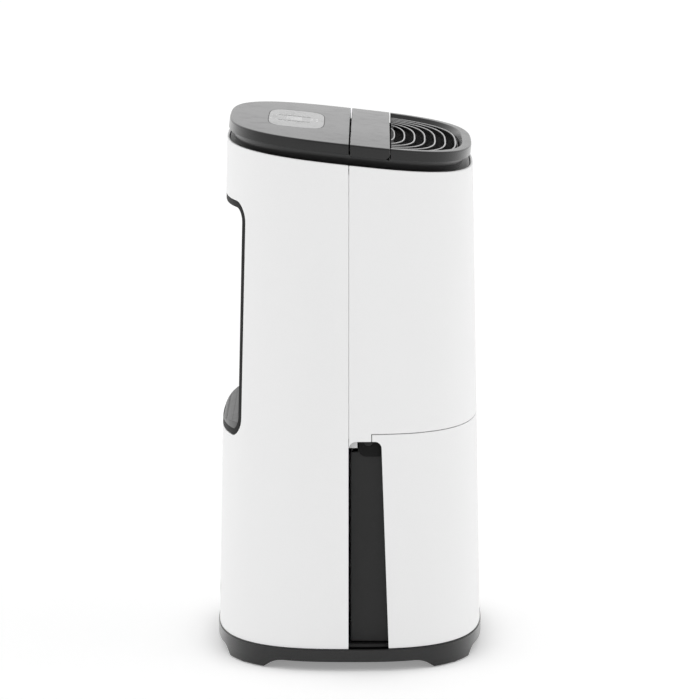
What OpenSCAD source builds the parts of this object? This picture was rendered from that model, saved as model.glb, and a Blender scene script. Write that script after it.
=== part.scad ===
// Tower dehumidifier: a tapering two-part casing on a footed base, a sloping cap with a lift-up
// carry handle, a pull-out water tank in front and a removable intake filter behind.
// Millimetres. +Z is up, the tank and air outlet face -Y, the intake faces +Y,
// and the origin is the middle of the footprint on the floor.

/* [Casing] */
// Width of the base skirt, the widest part
body_w = 322; // [316:1:328]
// Depth of the base skirt, front to back
body_d = 241; // [237:1:245]
// Height of the base skirt
base_h = 20; // [19:0.5:22]
// Height of the casing's rim above the floor, at the middle of its slope
shell_h = 453; // [450:0.5:455]
// Inward lean of each casing wall, in degrees
taper = 1.1; // [0.9:0.05:1.2]
// Squareness of the plan outline: 2 is an ellipse, higher is boxier
roundness = 2.8; // [2.7:0.05:2.9]
// Thickness of the casing and cover walls
wall = 2.5; // [2.2:0.1:2.8]
// Gap at the seams between casing parts
seam = 0.6; // [0.4:0.1:0.8]
// Height of the arches between the feet
arch_h = 8.5; // [6:0.5:9]

/* [Cap] */
// Width of the black cap
cap_w = 294; // [290:1:296]
// Depth of the black cap, front to back
cap_d = 220; // [217:1:222]
// Height of the cap's rim
rim_h = 9; // [8:0.5:10]
// Forward slope of the cap, in degrees
top_slope = 6.3; // [5.8:0.1:6.6]
// Front-to-back width of the carry handle's strap
strap_d = 35; // [33:0.5:36]
// Pitch of the outlet grille's concentric blades
blade_pitch = 9.3; // [9:0.1:9.6]

/* [Intake] */
// Width of the window in the rear casing
intake_w = 224; // [216:1:226]
// Height of the window's lower edge
intake_low = 202.5; // [200:0.5:204]
// Height of the window's upper edge
intake_high = 414.5; // [411:0.5:416]
// Distance of the flat filter cover behind the middle plane
panel_y = 95; // [94:0.5:96]

/* [Tank] */
// Height of the seam above the tank cover
tank_seam = 213.8; // [213:0.2:214.6]
// Half-width of the tank
tank_x = 145; // [143:0.5:146]
// Height of the tank's rim
tank_rim = 200.5; // [199:0.5:201]
// Height of the water tank handle's pivots
bail_z = 206; // [205.5:0.1:206.2]
// Distance of those pivots in front of the middle plane
bail_y = 17.3; // [17:0.1:17.6]

/* [Cooling] */
// Radius of the fan impeller
fan_r = 75; // [70:1:76]
// Number of impeller blades
fan_blades = 30; // [24:2:36]
// Radius of the compressor's can
can_r = 42; // [38:1:42]
// Height of the fan's centre
fan_z = 352; // [351:1:353]

/* [Hidden] */
$fn = 48;
eps = 0.01;
far = 300;                      // larger than any part, for cutting
half_w0 = body_w / 2 - 1.4;     // casing half-width at the skirt
half_d0 = body_d / 2 - 0.9;     // casing half-depth at the skirt
outline_n = 64;                 // corners of each plan outline
cap_round = 3;                  // squareness of the cap's outline
cap_h = shell_h + 9;            // underside of the cap's rim, at the middle of the slope
neck_h = 16;                    // height of the recessed neck under the cap
neck_in = 4;                    // neck's inset at its top
neck_lean = 8;                  // further inset at its foot
flange_drop = 9.8;              // neck's flange below the cap's rim
slot_gap = 1.6;                 // gap before and behind the strap
strap_y0 = -strap_d - 1;        // front of the strap
strap_y1 = -1;                  // back of the strap
arm_drop = 1.5;                 // arms reach below the cap's rim by this
window_y = 49.9;                // middle of the touch window, along the slope
leg_x = 122;                    // middle of each handle leg
leg_t = 8;                      // thickness of a leg
leg_y0 = -31;
leg_y1 = -7;
leg_foot = 385;                 // lower end of the legs, stowed
slide_gap = 0.35;               // clearance of the legs in their guides
bay_roof = 252;                 // underside of the roof over the tank
bay_back = 0.7;                 // front face of the wall behind the tank
frame_t = 2.6;                  // thickness of the inner frame
frame_in = wall + 0.7;          // inset of parts that sit inside the casing
grip_top = 207.3;               // top of the hand grips at the tank's sides
grip_y0 = -28.5;                // front of a grip at its top
grip_y1 = -35.5;                // front of a grip at its foot
tab_y = -20.3;                  // step in the seam above the grip
fan_y0 = -84;                   // front wall of the fan housing
fan_y1 = -42;                   // back wall of the fan housing
fan_wall = 2;
throat_z = 436;                 // top of the fan housing's throat
shaft_r = 3;
coil_w = 196;                   // width of both coils
coil_z0 = 222;
coil_z1 = 398;
frame_lip = 6;                  // width of the intake frame
cover_w = intake_w - 2 * frame_lip - 1;
swell_h = 13;                   // height of the swelling under the filter cover
swell_d = 17;                   // how far it stands out from its crest
cover_z0 = intake_low + swell_h + 1.6; // lower edge of the filter cover
cover_z1 = intake_high - frame_lip - 1;
shroud_z1 = cover_z1 + 3;       // top of the coils' shroud, clear of the dust filter
comp_x = -52;                   // compressor centre
comp_y = 62;
mount_ring = 47;                // radius of the compressor's ring of mounts
port_x = 40;                    // drain port
port_z = 178;
port_r = 6;
gland_x = -40;                  // cord entry
gland_z = 52;
float_x = 96;                   // float pivot
float_y = -16;
float_z = 152;

function half_w(z) = half_w0 - (z - base_h) * tan(taper);
function half_d(z) = half_d0 - (z - base_h) * tan(taper);
function signed_pow(v, e) = sign(v) * pow(abs(v), e);

// Plan outline: a superellipse of half-sizes a and b
function outline(a, b, n = roundness, m = outline_n) =
    [for (i = [0 : m - 1]) let (t = 360 * i / m)
        [a * signed_pow(cos(t), 2 / n), b * signed_pow(sin(t), 2 / n)]];

// Points of an arc about [cx, cy]
function arc(cx, cy, r, a0, a1, m = 8) =
    [for (i = [0 : m]) let (t = a0 + (a1 - a0) * i / m) [cx + r * cos(t), cy + r * sin(t)]];

// Extrudes a drawing in X and Z along Y
module along_y(y0, y1) translate([0, y1, 0]) rotate([90, 0, 0]) linear_extrude(y1 - y0) children();

// Extrudes a drawing in Y and Z along X
module along_x(x0, x1) translate([x0, 0, 0]) rotate([90, 0, 90]) linear_extrude(x1 - x0) children();

module both_sides() { children(); mirror([1, 0, 0]) children(); }

module box(x0, x1, y0, y1, z0, z1) translate([x0, y0, z0]) cube([x1 - x0, y1 - y0, z1 - z0]);

module rod_x(x0, x1, y, z, r) translate([x0, y, z]) rotate([0, 90, 0]) cylinder(h = x1 - x0, r = r);

module rod_y(x, y0, y1, z, r) translate([x, y0, z]) rotate([-90, 0, 0]) cylinder(h = y1 - y0, r = r);

// Rounded rectangle with true arcs at its corners
module pad(w, h, r) {
    square([w - 2 * r, h], center = true);
    square([w, h - 2 * r], center = true);
    for (x = [-1, 1], y = [-1, 1]) translate([x * (w / 2 - r), y * (h / 2 - r)]) circle(r);
}

// The casing's tapering form, inset all round, between two heights
module body_form(inset, z0, z1) hull()
    for (z = [z0, z1 - eps]) translate([0, 0, z])
        linear_extrude(eps) polygon(outline(half_w(z) - inset, half_d(z) - inset));

// Everything above the sloping plane that meets the middle at height z
module above_slope(z) translate([0, 0, z]) rotate([top_slope, 0, 0])
    translate([-far, -far, 0]) cube([2 * far, 2 * far, far]);

// Places a shape on the slope of the cap, at height z in the middle
module on_slope(z) translate([0, 0, z]) rotate([top_slope, 0, 0]) children();

// A slice of the cap: its outline inset by i, from h0 to h1 above the rim's underside
module cap_slice(i, h0, h1) on_slope(cap_h) translate([0, 0, h0]) linear_extrude(h1 - h0)
    polygon(outline(cap_w / 2 - i, cap_d / 2 - i, cap_round));

module front_of(y) translate([-far, y - 2 * far, 0]) cube([2 * far, 2 * far, 2 * far]);

module behind(y) translate([-far, y, 0]) cube([2 * far, 2 * far, 2 * far]);

// Rounded rod through a list of points
module pipe(points, r) {
    for (i = [0 : len(points) - 2]) {
        step = points[i + 1] - points[i];
        run = norm(step);
        translate(points[i]) rotate([0, acos(step[2] / run), atan2(step[1], step[0])])
            cylinder(h = run, r = r, $fn = 20);
    }
    for (i = [1 : len(points) - 2]) translate(points[i]) sphere(r, $fn = 20);
}

// ---- Base ----

// Arch between two feet, as a drawing across its opening
module arch(half) polygon([[-half - 4, -1], [-half - 4, 0], [-half, 1.6], [-half + 8, arch_h - 1.5],
    [-half + 16, arch_h], [half - 16, arch_h], [half - 8, arch_h - 1.5], [half, 1.6],
    [half + 4, 0], [half + 4, -1]]);

module base_skirt() color("dimgray") difference() {
    translate([0, 0, 0.8]) linear_extrude(base_h - 0.8)
        polygon(outline(body_w / 2, body_d / 2));
    translate([0, 0, 12]) linear_extrude(base_h)
        polygon(outline(body_w / 2 - 4.5, body_d / 2 - 4.5));
    along_x(-far, far) arch(76);
    along_y(-far, far) arch(100);
    for (p = pad_places()) translate([p[0], p[1], 0]) cylinder(h = 2.4, r = 8.3);
    for (p = screw_places()) translate([p[0], p[1], 0]) {
        cylinder(h = base_h, r = 1.9);
        cylinder(h = arch_h + 1.6, r = 4);
    }
}

function pad_places() = [for (x = [-1, 1], y = [-1, 1]) [x * 116, y * 89]];
function screw_places() = [for (x = [-1, 1], y = [-1, 1]) [x * 92, y * 62 - 6]];

module foot_pads() color("black")
    for (p = pad_places()) translate([p[0], p[1], 0]) cylinder(h = 2.3, r = 8);

module base_screws() color("silver")
    for (p = screw_places()) translate([p[0], p[1], arch_h]) {
        cylinder(h = 1.5, r = 3.6);
        cylinder(h = 14.5, r = 1.75);
    }

// ---- Casing ----

// The window for the intake, as a drawing in X and Z, inset by i
module intake_window(i) translate([0, (intake_low + intake_high) / 2])
    pad(intake_w - 2 * i, intake_high - intake_low - 2 * i, 18 - i);

module rear_shell() color("white") difference() {
    intersection() {
        body_form(0, base_h + seam / 2, shell_h + 30);
        behind(seam / 2);
    }
    body_form(wall, base_h, shell_h + 31);
    above_slope(shell_h);
    along_y(60, far) intake_window(0);
    rod_y(port_x, 60, far, port_z, 16.3);
    rod_y(gland_x, 60, far, gland_z, 7.2);
}

// Side view of the front casing: the upper casing, with the step over the grips
module front_side() polygon(concat(
    [[-seam / 2, far * 2], [-seam / 2, grip_top - 6]],
    arc(-6.3, grip_top - 6, 6, 0, 90),
    [[tab_y + seam / 2, grip_top], [tab_y + seam / 2, tank_seam + seam / 2],
     [-far, tank_seam + seam / 2], [-far, far * 2]]));

module front_shell() color("white") difference() {
    intersection() {
        body_form(0, grip_top - 8, shell_h + 30);
        along_x(-far, far) front_side();
    }
    body_form(wall, grip_top - 9, shell_h + 31);
    above_slope(shell_h);
}

// Side view of the tank's cover, with the slanting grip edge
module cover_side() polygon(concat(
    [[-far, base_h + seam], [grip_y1, base_h + seam], [grip_y0 - 0.3, grip_top - 7]],
    arc(grip_y0 + 5.7, grip_top - 6, 6, 180, 90),
    [[tab_y - seam / 2, grip_top], [tab_y - seam / 2, tank_seam - seam / 2],
     [-far, tank_seam - seam / 2]]));

// ---- Inner frame: floor, wall and roof of the tank's bay, and the fan's bulkhead ----

module inner_frame() color("gainsboro") difference() {
    union() {
        intersection() {
            body_form(frame_in + 4, base_h + 0.4, bay_roof);
            box(-far, far, -far, bay_back + frame_t, base_h + 0.4, base_h + 3);
        }
        intersection() {
            body_form(frame_in, base_h + 0.4, 446);
            union() {
                box(-far, far, bay_back, bay_back + frame_t, base_h + 0.4, bay_roof + frame_t);
                box(-far, far, -far, bay_back + frame_t, bay_roof, bay_roof + frame_t);
                box(-far, far, fan_y1 + 1.8, fan_y1 + 4.2, bay_roof, 430);
                both_sides() box(148.8, 152.2, -7.6, bay_back + 1, tank_rim + 0.7, bay_roof + 1);
                both_sides() box(58, 61, -1.2, bay_back + 1, base_h + 3, tank_rim);
            }
        }
        for (p = screw_places()) translate([p[0], p[1], 12.2])
            if (p[1] < 0) cylinder(h = base_h - 9.2, r = 5);
    }
    rod_y(0, fan_y1 - 1, fan_y1 + 9, fan_z, 60);
    for (p = screw_places()) translate([p[0], p[1], 0]) cylinder(h = 30, r = 1.8);
    box(-13, 13, -5, 10, 214, 228);
}

// ---- Cap ----

module neck_ring() color("dimgray") difference() {
    union() {
        hull() {
            cap_slice(neck_in, -0.3 - eps, -0.3);
            cap_slice(neck_in + neck_lean, -neck_h, -neck_h + eps);
        }
        intersection() {
            cap_slice(-3.5, -flange_drop - 2.5, -flange_drop);
            body_form(wall + 0.5, 400, shell_h + 30);
        }
    }
    hull() {
        cap_slice(neck_in + wall, 0, eps);
        cap_slice(neck_in + neck_lean + wall, -neck_h - eps, -neck_h);
    }
}

// Bare outline of the cap with its rim, hollow below its skin
module cap_shell() difference() {
    cap_slice(0, 0, rim_h);
    cap_slice(wall, -1, rim_h - wall);
}

module window_2d(w, h) translate([0, window_y]) pad(w, h, 24);

function boss_places() = [for (x = [-1, 1], y = [-1, 1]) [x * 54, window_y + y * 19]];

module control_panel() color("gray") difference() {
    union() {
        intersection() { cap_shell(); behind(strap_y1 + slot_gap); }
        for (p = boss_places()) on_slope(cap_h) translate([p[0], p[1], 2.8])
            cylinder(h = rim_h - 4.5, r = 3);
    }
    on_slope(cap_h + rim_h * cos(top_slope)) translate([0, 0, -1.4])
        linear_extrude(10) window_2d(131, 51);
    on_slope(cap_h) translate([0, window_y, 0]) linear_extrude(far) square([60, 24], center = true);
}

module touch_window() color("silver")
    on_slope(cap_h + rim_h * cos(top_slope)) translate([0, 0, -1.3])
        linear_extrude(1.3) window_2d(130.4, 50.4);

module display_board() color("green") on_slope(cap_h) {
    translate([-60, window_y - 23, 1.2]) cube([120, 46, 1.6]);
    translate([-28, window_y - 10, 2.8]) cube([56, 20, 3.2]);
}

module outlet_ring() color("dimgray") difference() {
    intersection() {
        union() {
            cap_slice(0, 0, rim_h);
            cap_slice(neck_in + wall + 1.6, -2.8, 0.1);
        }
        front_of(strap_y0 - slot_gap);
    }
    hull() {
        cap_slice(8.5, rim_h, rim_h + 1);
        cap_slice(11.5, 2, 3);
    }
    cap_slice(13, -2, rim_h);
    cap_slice(15, -4, rim_h);
}

// Concentric blades over straight ribs
module outlet_grille() color("black") intersection() {
    union() {
        for (i = [0 : 6]) difference() {
            cap_slice(13.4 + i * blade_pitch, -2, 5.5);
            cap_slice(15.2 + i * blade_pitch, -3, 6.5);
        }
        intersection() {
            for (x = [-120 : 12 : 120]) on_slope(cap_h) translate([x - 0.7, -120, -2]) cube([1.4, 120, 5]);
            cap_slice(13.6, -5, 20);
        }
        intersection() {
            cap_slice(13.6, -2, 5.5);
            box(-far, far, strap_y0 - 4.2, strap_y0 - 2.2, 0, 2 * far);
        }
    }
    front_of(strap_y0 - slot_gap - 0.6);
}

// ---- Carry handle ----

// Cuts the lower front corner of each arm on a slant
module bevel_side() polygon([
    [strap_y0 - 1, cap_h - 5.5], [strap_y0 - 1, cap_h - 2], [strap_y0 + 6, cap_h - 6.5],
    [strap_y0 + 6, cap_h - 12], [strap_y0 - 1, cap_h - 12]]);

module carry_handle() color("gray") difference() {
    union() {
        difference() {
            intersection() {
                cap_slice(0, -arm_drop, rim_h);
                box(-far, far, strap_y0, strap_y1, 0, 2 * far);
            }
            cap_slice(neck_in - 0.8, -10, 4.5);
            along_x(-far, far) bevel_side();
        }
        both_sides() box(leg_x - leg_t / 2, leg_x + leg_t / 2, leg_y0, leg_y1, leg_foot, cap_h + 4.5);
    }
    above_slope(cap_h + rim_h * cos(top_slope));
}

module handle_well() color("dimgray") difference() {
    on_slope(cap_h) translate([-114, strap_y0 - 0.9, -14]) cube([228, strap_d + 1.8, 13.6]);
    on_slope(cap_h) translate([-112, strap_y0 + 1.1, -12]) cube([224, strap_d - 2.2, 14]);
}

module handle_guides() color("dimgray") both_sides() difference() {
    box(leg_x - leg_t / 2 - 4, leg_x + leg_t / 2 + 3, leg_y0 - 3, leg_y1 + 3, leg_foot - 6, cap_h - 8);
    box(leg_x - leg_t / 2 - slide_gap, leg_x + leg_t / 2 + slide_gap,
        leg_y0 - slide_gap, leg_y1 + slide_gap, leg_foot - 3, cap_h);
}

// ---- Fan ----

// Scroll outline: a spiral about the fan, opening upwards on the right; grow pushes it outwards
function scroll(grow) = concat(
    [for (t = [75 : 10 : 355]) let (r = fan_r + 5 + (t - 75) * 15 / 285 + grow)
        [r * cos(t), fan_z + r * sin(t)]],
    [[fan_r + 20 + grow, fan_z], [fan_r + 20 + grow, throat_z], [22 - grow, throat_z]]);

module fan_housing() color("lightgray") difference() {
    along_y(fan_y0, fan_y1) polygon(scroll(fan_wall));
    along_y(fan_y0 + fan_wall, fan_y1 - fan_wall) polygon(scroll(0));
    box(22, fan_r + 20, fan_y0 + fan_wall, fan_y1 - fan_wall, fan_z + 60, throat_z + 1);
    rod_y(0, fan_y1 - 5, fan_y1 + 1, fan_z, 56);
    rod_y(0, fan_y0 - 1, fan_y0 + 5, fan_z, 9);
    for (p = motor_screw_places()) rod_y(p[0], fan_y0 - 1, fan_y0 + 5, p[1], 1.6);
}

// Throat from the housing up to the grille, with its corners drawn in
module duct_form(grow) hull() {
    translate([22 - grow, fan_y0 + 4 - grow, throat_z + 0.3])
        cube([fan_r - 7 + 2 * grow, fan_y1 - fan_y0 - 7 + 2 * grow, eps]);
    intersection() {
        cap_slice(20 - grow, -5 - eps, -5);
        box(-far, far, -far, fan_y1 - 2 + grow, 0, 2 * far);
    }
}

module outlet_duct() color("lightgray") difference() {
    duct_form(0);
    translate([0, 0, eps]) duct_form(-1.6);
    translate([0, 0, -2 * eps]) duct_form(-1.6);
}

function motor_screw_places() = [for (a = [45 : 90 : 315]) [41 * cos(a), fan_z + 41 * sin(a)]];

module fan_motor() color("silver") difference() {
    union() {
        rod_y(0, fan_y0 - 23, fan_y0 - 0.3, fan_z, 34);
        intersection() {
            rod_y(0, fan_y0 - 3, fan_y0 - 0.3, fan_z, 46);
            along_y(fan_y0 - 4, fan_y0) translate([0, fan_z]) pad(76, 76, 12);
        }
    }
    rod_y(0, fan_y0 - 18, fan_y0 + 1, fan_z, shaft_r + 0.05);
    for (p = motor_screw_places()) rod_y(p[0], fan_y0 - 9, fan_y0 + 1, p[1], 1.6);
}

module motor_screws() color("silver") for (p = motor_screw_places()) {
    rod_y(p[0], fan_y0 - 3 - 1.8, fan_y0 - 3, p[1], 3.2);
    rod_y(p[0], fan_y0 - 3.1, fan_y0 + 1.5, p[1], 1.5);
}

module fan_shaft() color("silver") rod_y(0, fan_y0 - 17, fan_y0 + 26, fan_z, shaft_r);

module fan_impeller() color("white") translate([0, fan_y0 + 5, fan_z]) rotate([-90, 0, 0])
    difference() {
        union() {
            cylinder(h = 2, r = fan_r);
            cylinder(h = 20, r = 10);
            translate([0, 0, 30]) difference() {
                cylinder(h = 2, r = fan_r);
                translate([0, 0, -1]) cylinder(h = 4, r = fan_r - 12);
            }
            for (i = [0 : fan_blades - 1]) rotate(i * 360 / fan_blades)
                translate([fan_r - 7, 0, 1]) rotate(35)
                    translate([-5, -0.6, 0]) cube([10, 1.2, 30]);
        }
        translate([0, 0, -1]) cylinder(h = 30, r = shaft_r);
    }

// ---- Refrigerant circuit ----

function mount_places() = [for (a = [30 : 120 : 270])
    [comp_x + mount_ring * cos(a), comp_y + mount_ring * sin(a)]];

module compressor() color("black") translate([comp_x, comp_y, 0])
    rotate_extrude() polygon(concat([[0, 27]], arc(can_r - 10, 37, 10, -90, 0),
        arc(can_r - 18, 158, 18, 0, 90), [[12, 177], [12, 183], [0, 183]]));

module compressor_base() color("black") translate([0, 0, 24]) linear_extrude(3) difference() {
    hull() for (p = mount_places()) translate([p[0], p[1]]) circle(8);
    for (p = mount_places()) translate([p[0], p[1]]) circle(4.2);
}

module compressor_mounts() color("dimgray") for (p = mount_places())
    translate([p[0], p[1], 12]) difference() {
        union() {
            cylinder(h = 12, r = 7);
            cylinder(h = 17, r = 4.1);
        }
        translate([0, 0, -1]) cylinder(h = 30, r = 2);
    }

module compressor_nuts() color("silver") for (p = mount_places())
    translate([p[0], p[1], 29]) difference() {
        cylinder(h = 4, r = 4.8, $fn = 6);
        translate([0, 0, -1]) cylinder(h = 6, r = 2);
    }

module accumulator() color("black") translate([16, 70, 0]) {
    translate([0, 0, 50]) cylinder(h = 90, r = 17);
    translate([0, 0, 139]) cylinder(h = 12, r1 = 17, r2 = 6);
    translate([0, 0, 39]) cylinder(h = 12, r1 = 6, r2 = 17);
}

// A finned coil: fin pack, end plates and the return bends outside them
module coil(y0, y1, rows) {
    box(-coil_w / 2, coil_w / 2, y0 + 1, y1 - 1, coil_z0 + 2, coil_z1 - 2);
    both_sides() box(coil_w / 2 - 0.5, coil_w / 2 + 1.5, y0, y1, coil_z0, coil_z1);
    step = (coil_z1 - coil_z0) / rows;
    both_sides() for (i = [0 : 2 : rows - 2])
        translate([coil_w / 2 + 1, (y0 + y1) / 2, coil_z0 + (i + 1) * step])
            rotate([0, 90, 90]) rotate([0, 0, 90]) bend(step / 2);
}

// Half a ring of tube, standing out along local +Y
module bend(r) difference() {
    rotate_extrude($fn = 32) translate([r, 0]) circle(r = 3.2, $fn = 20);
    translate([-far, -2 * far, -far]) cube([2 * far, 2 * far, 2 * far]);
}

module evaporator_coil() color("silver") coil(66, 84, 8);

module condenser_coil() color("silver") coil(42, 60, 8);

module refrigerant_pipes() color("peru") {
    pipe([[comp_x, comp_y, 183], [comp_x, comp_y, 194], [-128, 51, 194], [-128, 51, 262],
        [-124.3, 51, 262]], 3);
    pipe([[16, 70, 151], [16, 70, 196], [128, 75, 196], [128, 75, 262], [124.3, 75, 262]], 3);
    pipe([[16, 70, 39], [16, 70, 32], [comp_x + can_r + 2, 66, 44]], 3);
}

module coil_shroud() color("gainsboro") difference() {
    intersection() {
        box(-124, 124, 40, 87, 216, shroud_z1);
        body_form(frame_in, 200, 440);
    }
    box(-121.4, 121.4, 30, 99, 219, shroud_z1 - 2.6);
}

module drip_tray() color("gainsboro") difference() {
    union() {
        intersection() {
            box(-124, 124, 36, 86.4, 203, 215);
            body_form(frame_in, 190, 240);
        }
        rod_y(0, 20, 40, 211, 6);
    }
    intersection() {
        box(-121.6, 121.6, 38.4, 84, 205.4, 220);
        body_form(frame_in + 2.4, 190, 240);
    }
    rod_y(0, 10, 45, 211, 4);
    translate([port_x, 82, 200]) cylinder(h = 10, r = 2);
}

module drip_spout() color("gainsboro") difference() {
    union() {
        rod_y(0, 3.6, 19.6, 220, 11);
        box(-9, 9, -10, 4, 215, 225);
    }
    rod_y(0, 5.6, 25, 220, 9);
    box(-7, 7, -8, 8, 217, 230);
    box(-4, 4, -8, 0, 210, 220);
}

// ---- Electrics ----

module run_capacitor() color("gainsboro") {
    rod_y(-40, 6, 36, 262, 15);
    rod_y(-40, 36, 38, 262, 3);
}

module main_board() color("green") {
    box(-132, -130.4, 8, 36, 262, 372);
    box(-130.4, -116, 12, 32, 270, 300);
    box(-130.4, -118, 12, 30, 310, 330);
    box(-130.4, -122, 12, 34, 340, 366);
}

module humidity_sensor() color("white") {
    box(104, 118, 16, 28, 300, 324);
    box(107, 115, 28, 31, 304, 320);
}

module tank_switch() color("black") box(float_x - 9, float_x + 9, bay_back + frame_t + 0.1, 14, 140, 164);

module cord_gland() color("black") difference() {
    union() {
        rod_y(gland_x, 112, 117.2, gland_z, 7);
        rod_y(gland_x, 112, 114, gland_z, 8.6);
    }
    rod_y(gland_x, 100, 130, gland_z, 3.6);
}

// ---- Continuous drain ----

module drain_port() color("dimgray") difference() {
    union() {
        intersection() {
            rod_y(port_x, 99, 120, port_z, 16);
            body_form(0.3, port_z - 20, port_z + 20);
        }
        rod_y(port_x, 76, 101, port_z, port_r);
        translate([port_x, 82, port_z]) cylinder(h = 203 - port_z, r = 5);
    }
    difference() {
        rod_y(port_x, 101.4, 120, port_z, 14);
        rod_y(port_x, 90, 114.4, port_z, port_r);
    }
    rod_y(port_x, 80, 120, port_z, 4);
    translate([port_x, 82, port_z]) cylinder(h = 30, r = 2.5);
}

module drain_bung() color("black") {
    rod_y(port_x, 98, 114.8, port_z, 3.7);
    rod_y(port_x, 114.7, 116.3, port_z, 5.4);
}

// ---- Intake ----

// Side view of the swelling under the filter cover: a quarter ellipse
module swell_side() polygon(concat([[panel_y - 7, intake_low], [panel_y + 5, intake_low + swell_h]],
    [for (t = [80 : -10 : 0]) [panel_y + 5 + swell_d * cos(t), intake_low + swell_h * sin(t)]],
    [[far, intake_low]]));

module intake_frame() color("dimgray") intersection() {
    body_form(0.2, 180, 430);
    union() {
        difference() {
            along_y(panel_y - 8, far) intake_window(0.3);
            along_y(0, far) intake_window(frame_lip);
        }
        intersection() {
            along_y(panel_y - 8, far) intake_window(frame_lip - 1);
            along_x(-far, far) swell_side();
        }
    }
}

module filter_cover() color("dimgray") translate([0, panel_y, cover_z0]) rotate([taper, 0, 0])
    translate([0, -panel_y, -cover_z0]) difference() {
        along_y(panel_y - 3, panel_y) translate([0, (cover_z0 + cover_z1) / 2])
            pad(cover_w, cover_z1 - cover_z0, 10);
        for (i = [-9 : 9]) translate([i * 10.6, 0, 0])
            along_y(0, far) translate([0, (cover_z0 + cover_z1) / 2]) pad(7, cover_z1 - cover_z0 - 24, 3);
    }

module dust_filter() color("lightgray") translate([0, panel_y - 3.6, cover_z0]) rotate([taper, 0, 0])
    translate([0, -panel_y + 3.6, -cover_z0]) difference() {
        along_y(panel_y - 6.4, panel_y - 3.5) translate([0, (cover_z0 + cover_z1) / 2])
            pad(cover_w - 3, cover_z1 - cover_z0 - 3, 9);
        difference() {
            along_y(0, panel_y - 4.4) translate([0, (cover_z0 + cover_z1) / 2])
                pad(cover_w - 18, cover_z1 - cover_z0 - 18, 4);
            for (x = [-40, 40]) box(x - 1.5, x + 1.5, 0, far, 0, 2 * far);
        }
    }

// ---- Water tank ----

module water_tank() color("dimgray") difference() {
    intersection() {
        body_form(6.5, base_h, tank_rim + 20);
        box(-tank_x, tank_x, -far, -1.6, base_h + 4, tank_rim);
    }
    intersection() {
        body_form(9, base_h, tank_rim + 21);
        box(2.5 - tank_x, tank_x - 2.5, -far, -4.1, base_h + 6.5, tank_rim + 20);
    }
    both_sides() box(tank_x - 3, tank_x + 1, -7.8, 0, tank_rim - 4, tank_rim + 1);
}

module tank_lid() color("dimgray") difference() {
    union() {
        intersection() {
            body_form(7, base_h, tank_rim + 20);
            box(4 - tank_x, tank_x - 4, -far, -8.4, tank_rim + 0.2, tank_rim + 3);
        }
        intersection() {
            body_form(9.6, base_h, tank_rim + 20);
            box(3.2 - tank_x, tank_x - 3.2, -far, -9, tank_rim - 5, tank_rim + 0.3);
        }
        translate([-60, -80, tank_rim]) cylinder(h = 8, r = 12);
    }
    intersection() {
        body_form(11.6, base_h, tank_rim + 20);
        box(5.2 - tank_x, tank_x - 5.2, -far, -11, tank_rim - 6, tank_rim + 0.2);
    }
    box(-16, 16, -30, -12, 0, far);
}

module tank_cover() color("white") union() {
    difference() {
        intersection() {
            body_form(0, base_h + seam, tank_seam);
            along_x(-far, far) cover_side();
        }
        body_form(wall, base_h, tank_seam + 1);
    }
    intersection() {
        body_form(wall - 0.2, base_h + seam, 190);
        along_x(-far, far) polygon([[grip_y1, base_h + 3.6], [grip_y0 - 0.8, 190],
            [grip_y0 - 3.2, 190], [grip_y1 - 2.4, base_h + 3.6]]);
        difference() {
            box(-far, far, -far, 0, 0, far);
            box(-tank_x - 0.1, tank_x + 0.1, -far, 1, 0, far);
        }
    }
    both_sides() for (z = [60, 150]) intersection() {
        body_form(wall - 0.2, base_h, tank_seam);
        difference() {
            box(10, 16, -far, -90, z, z + 6);
            body_form(6.5, base_h, tank_seam + 1);
        }
    }
}

// ---- Water tank handle ----

// Side view of the plate at each end of the handle
module plate_side() difference() {
    union() {
        circle(8.8);
        polygon(concat([[-10.6, -13.4], [-10.6, 6]], [[8.6, 0]], [[8.8, -6.4]],
            arc(1.8, -6.4, 7, 0, -90)));
    }
    translate([-20, 6]) square([40, 10]);
    circle(4);
}

module tank_handle() color("black") {
    both_sides() translate([0, -bail_y, bail_z]) along_x(tank_x + 0.4, tank_x + 3.2) plate_side();
    intersection() {
        union() {
            both_sides() box(tank_x + 0.4, tank_x + 3.2, -bail_y - 38, -bail_y - 8, bail_z - 1.6, bail_z + 5);
            box(-tank_x - 3.2, tank_x + 3.2, -bail_y - 38, -bail_y - 30, bail_z - 1.6, bail_z + 5);
        }
        body_form(4.2, base_h, tank_seam + 20);
    }
}

module handle_pivots() color("black") both_sides() {
    rod_x(tank_x - 3.8, tank_x + 3.4, -bail_y, bail_z, 3.94);
    box(tank_x - 9, tank_x - 3.6, -bail_y - 5, -bail_y + 5, tank_rim + 3, bail_z + 4);
}

// ---- Float ----

module float_bracket() color("dimgray") {
    for (x = [-9, 6.6]) difference() {
        along_x(float_x + x, float_x + x + 2.4) polygon([[-4.1, float_z - 8], [float_y - 4, float_z - 4],
            [float_y - 4, float_z + 4], [-4.1, float_z + 8]]);
    }
    rod_x(float_x - 8, float_x + 8, float_y, float_z, 2);
}

module tank_float() color("white") difference() {
    union() {
        box(float_x - 13, float_x + 13, float_y - 34, float_y - 8, float_z - 24, float_z - 6);
        along_x(float_x - 6, float_x + 6) union() {
            translate([float_y, float_z]) circle(4.4);
            polygon([[float_y - 3, float_z + 3.2], [float_y + 2, float_z - 4], [float_y - 9, float_z - 10],
                [float_y - 14, float_z - 6]]);
        }
    }
    rod_x(float_x - 20, float_x + 20, float_y, float_z, 2.06);
    translate([float_x, float_y - 22, float_z - 14]) cylinder(h = 20, r = 4);
}

module float_magnet() color("silver")
    translate([float_x, float_y - 22, float_z - 13.9]) cylinder(h = 7, r = 3.9);

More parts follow.
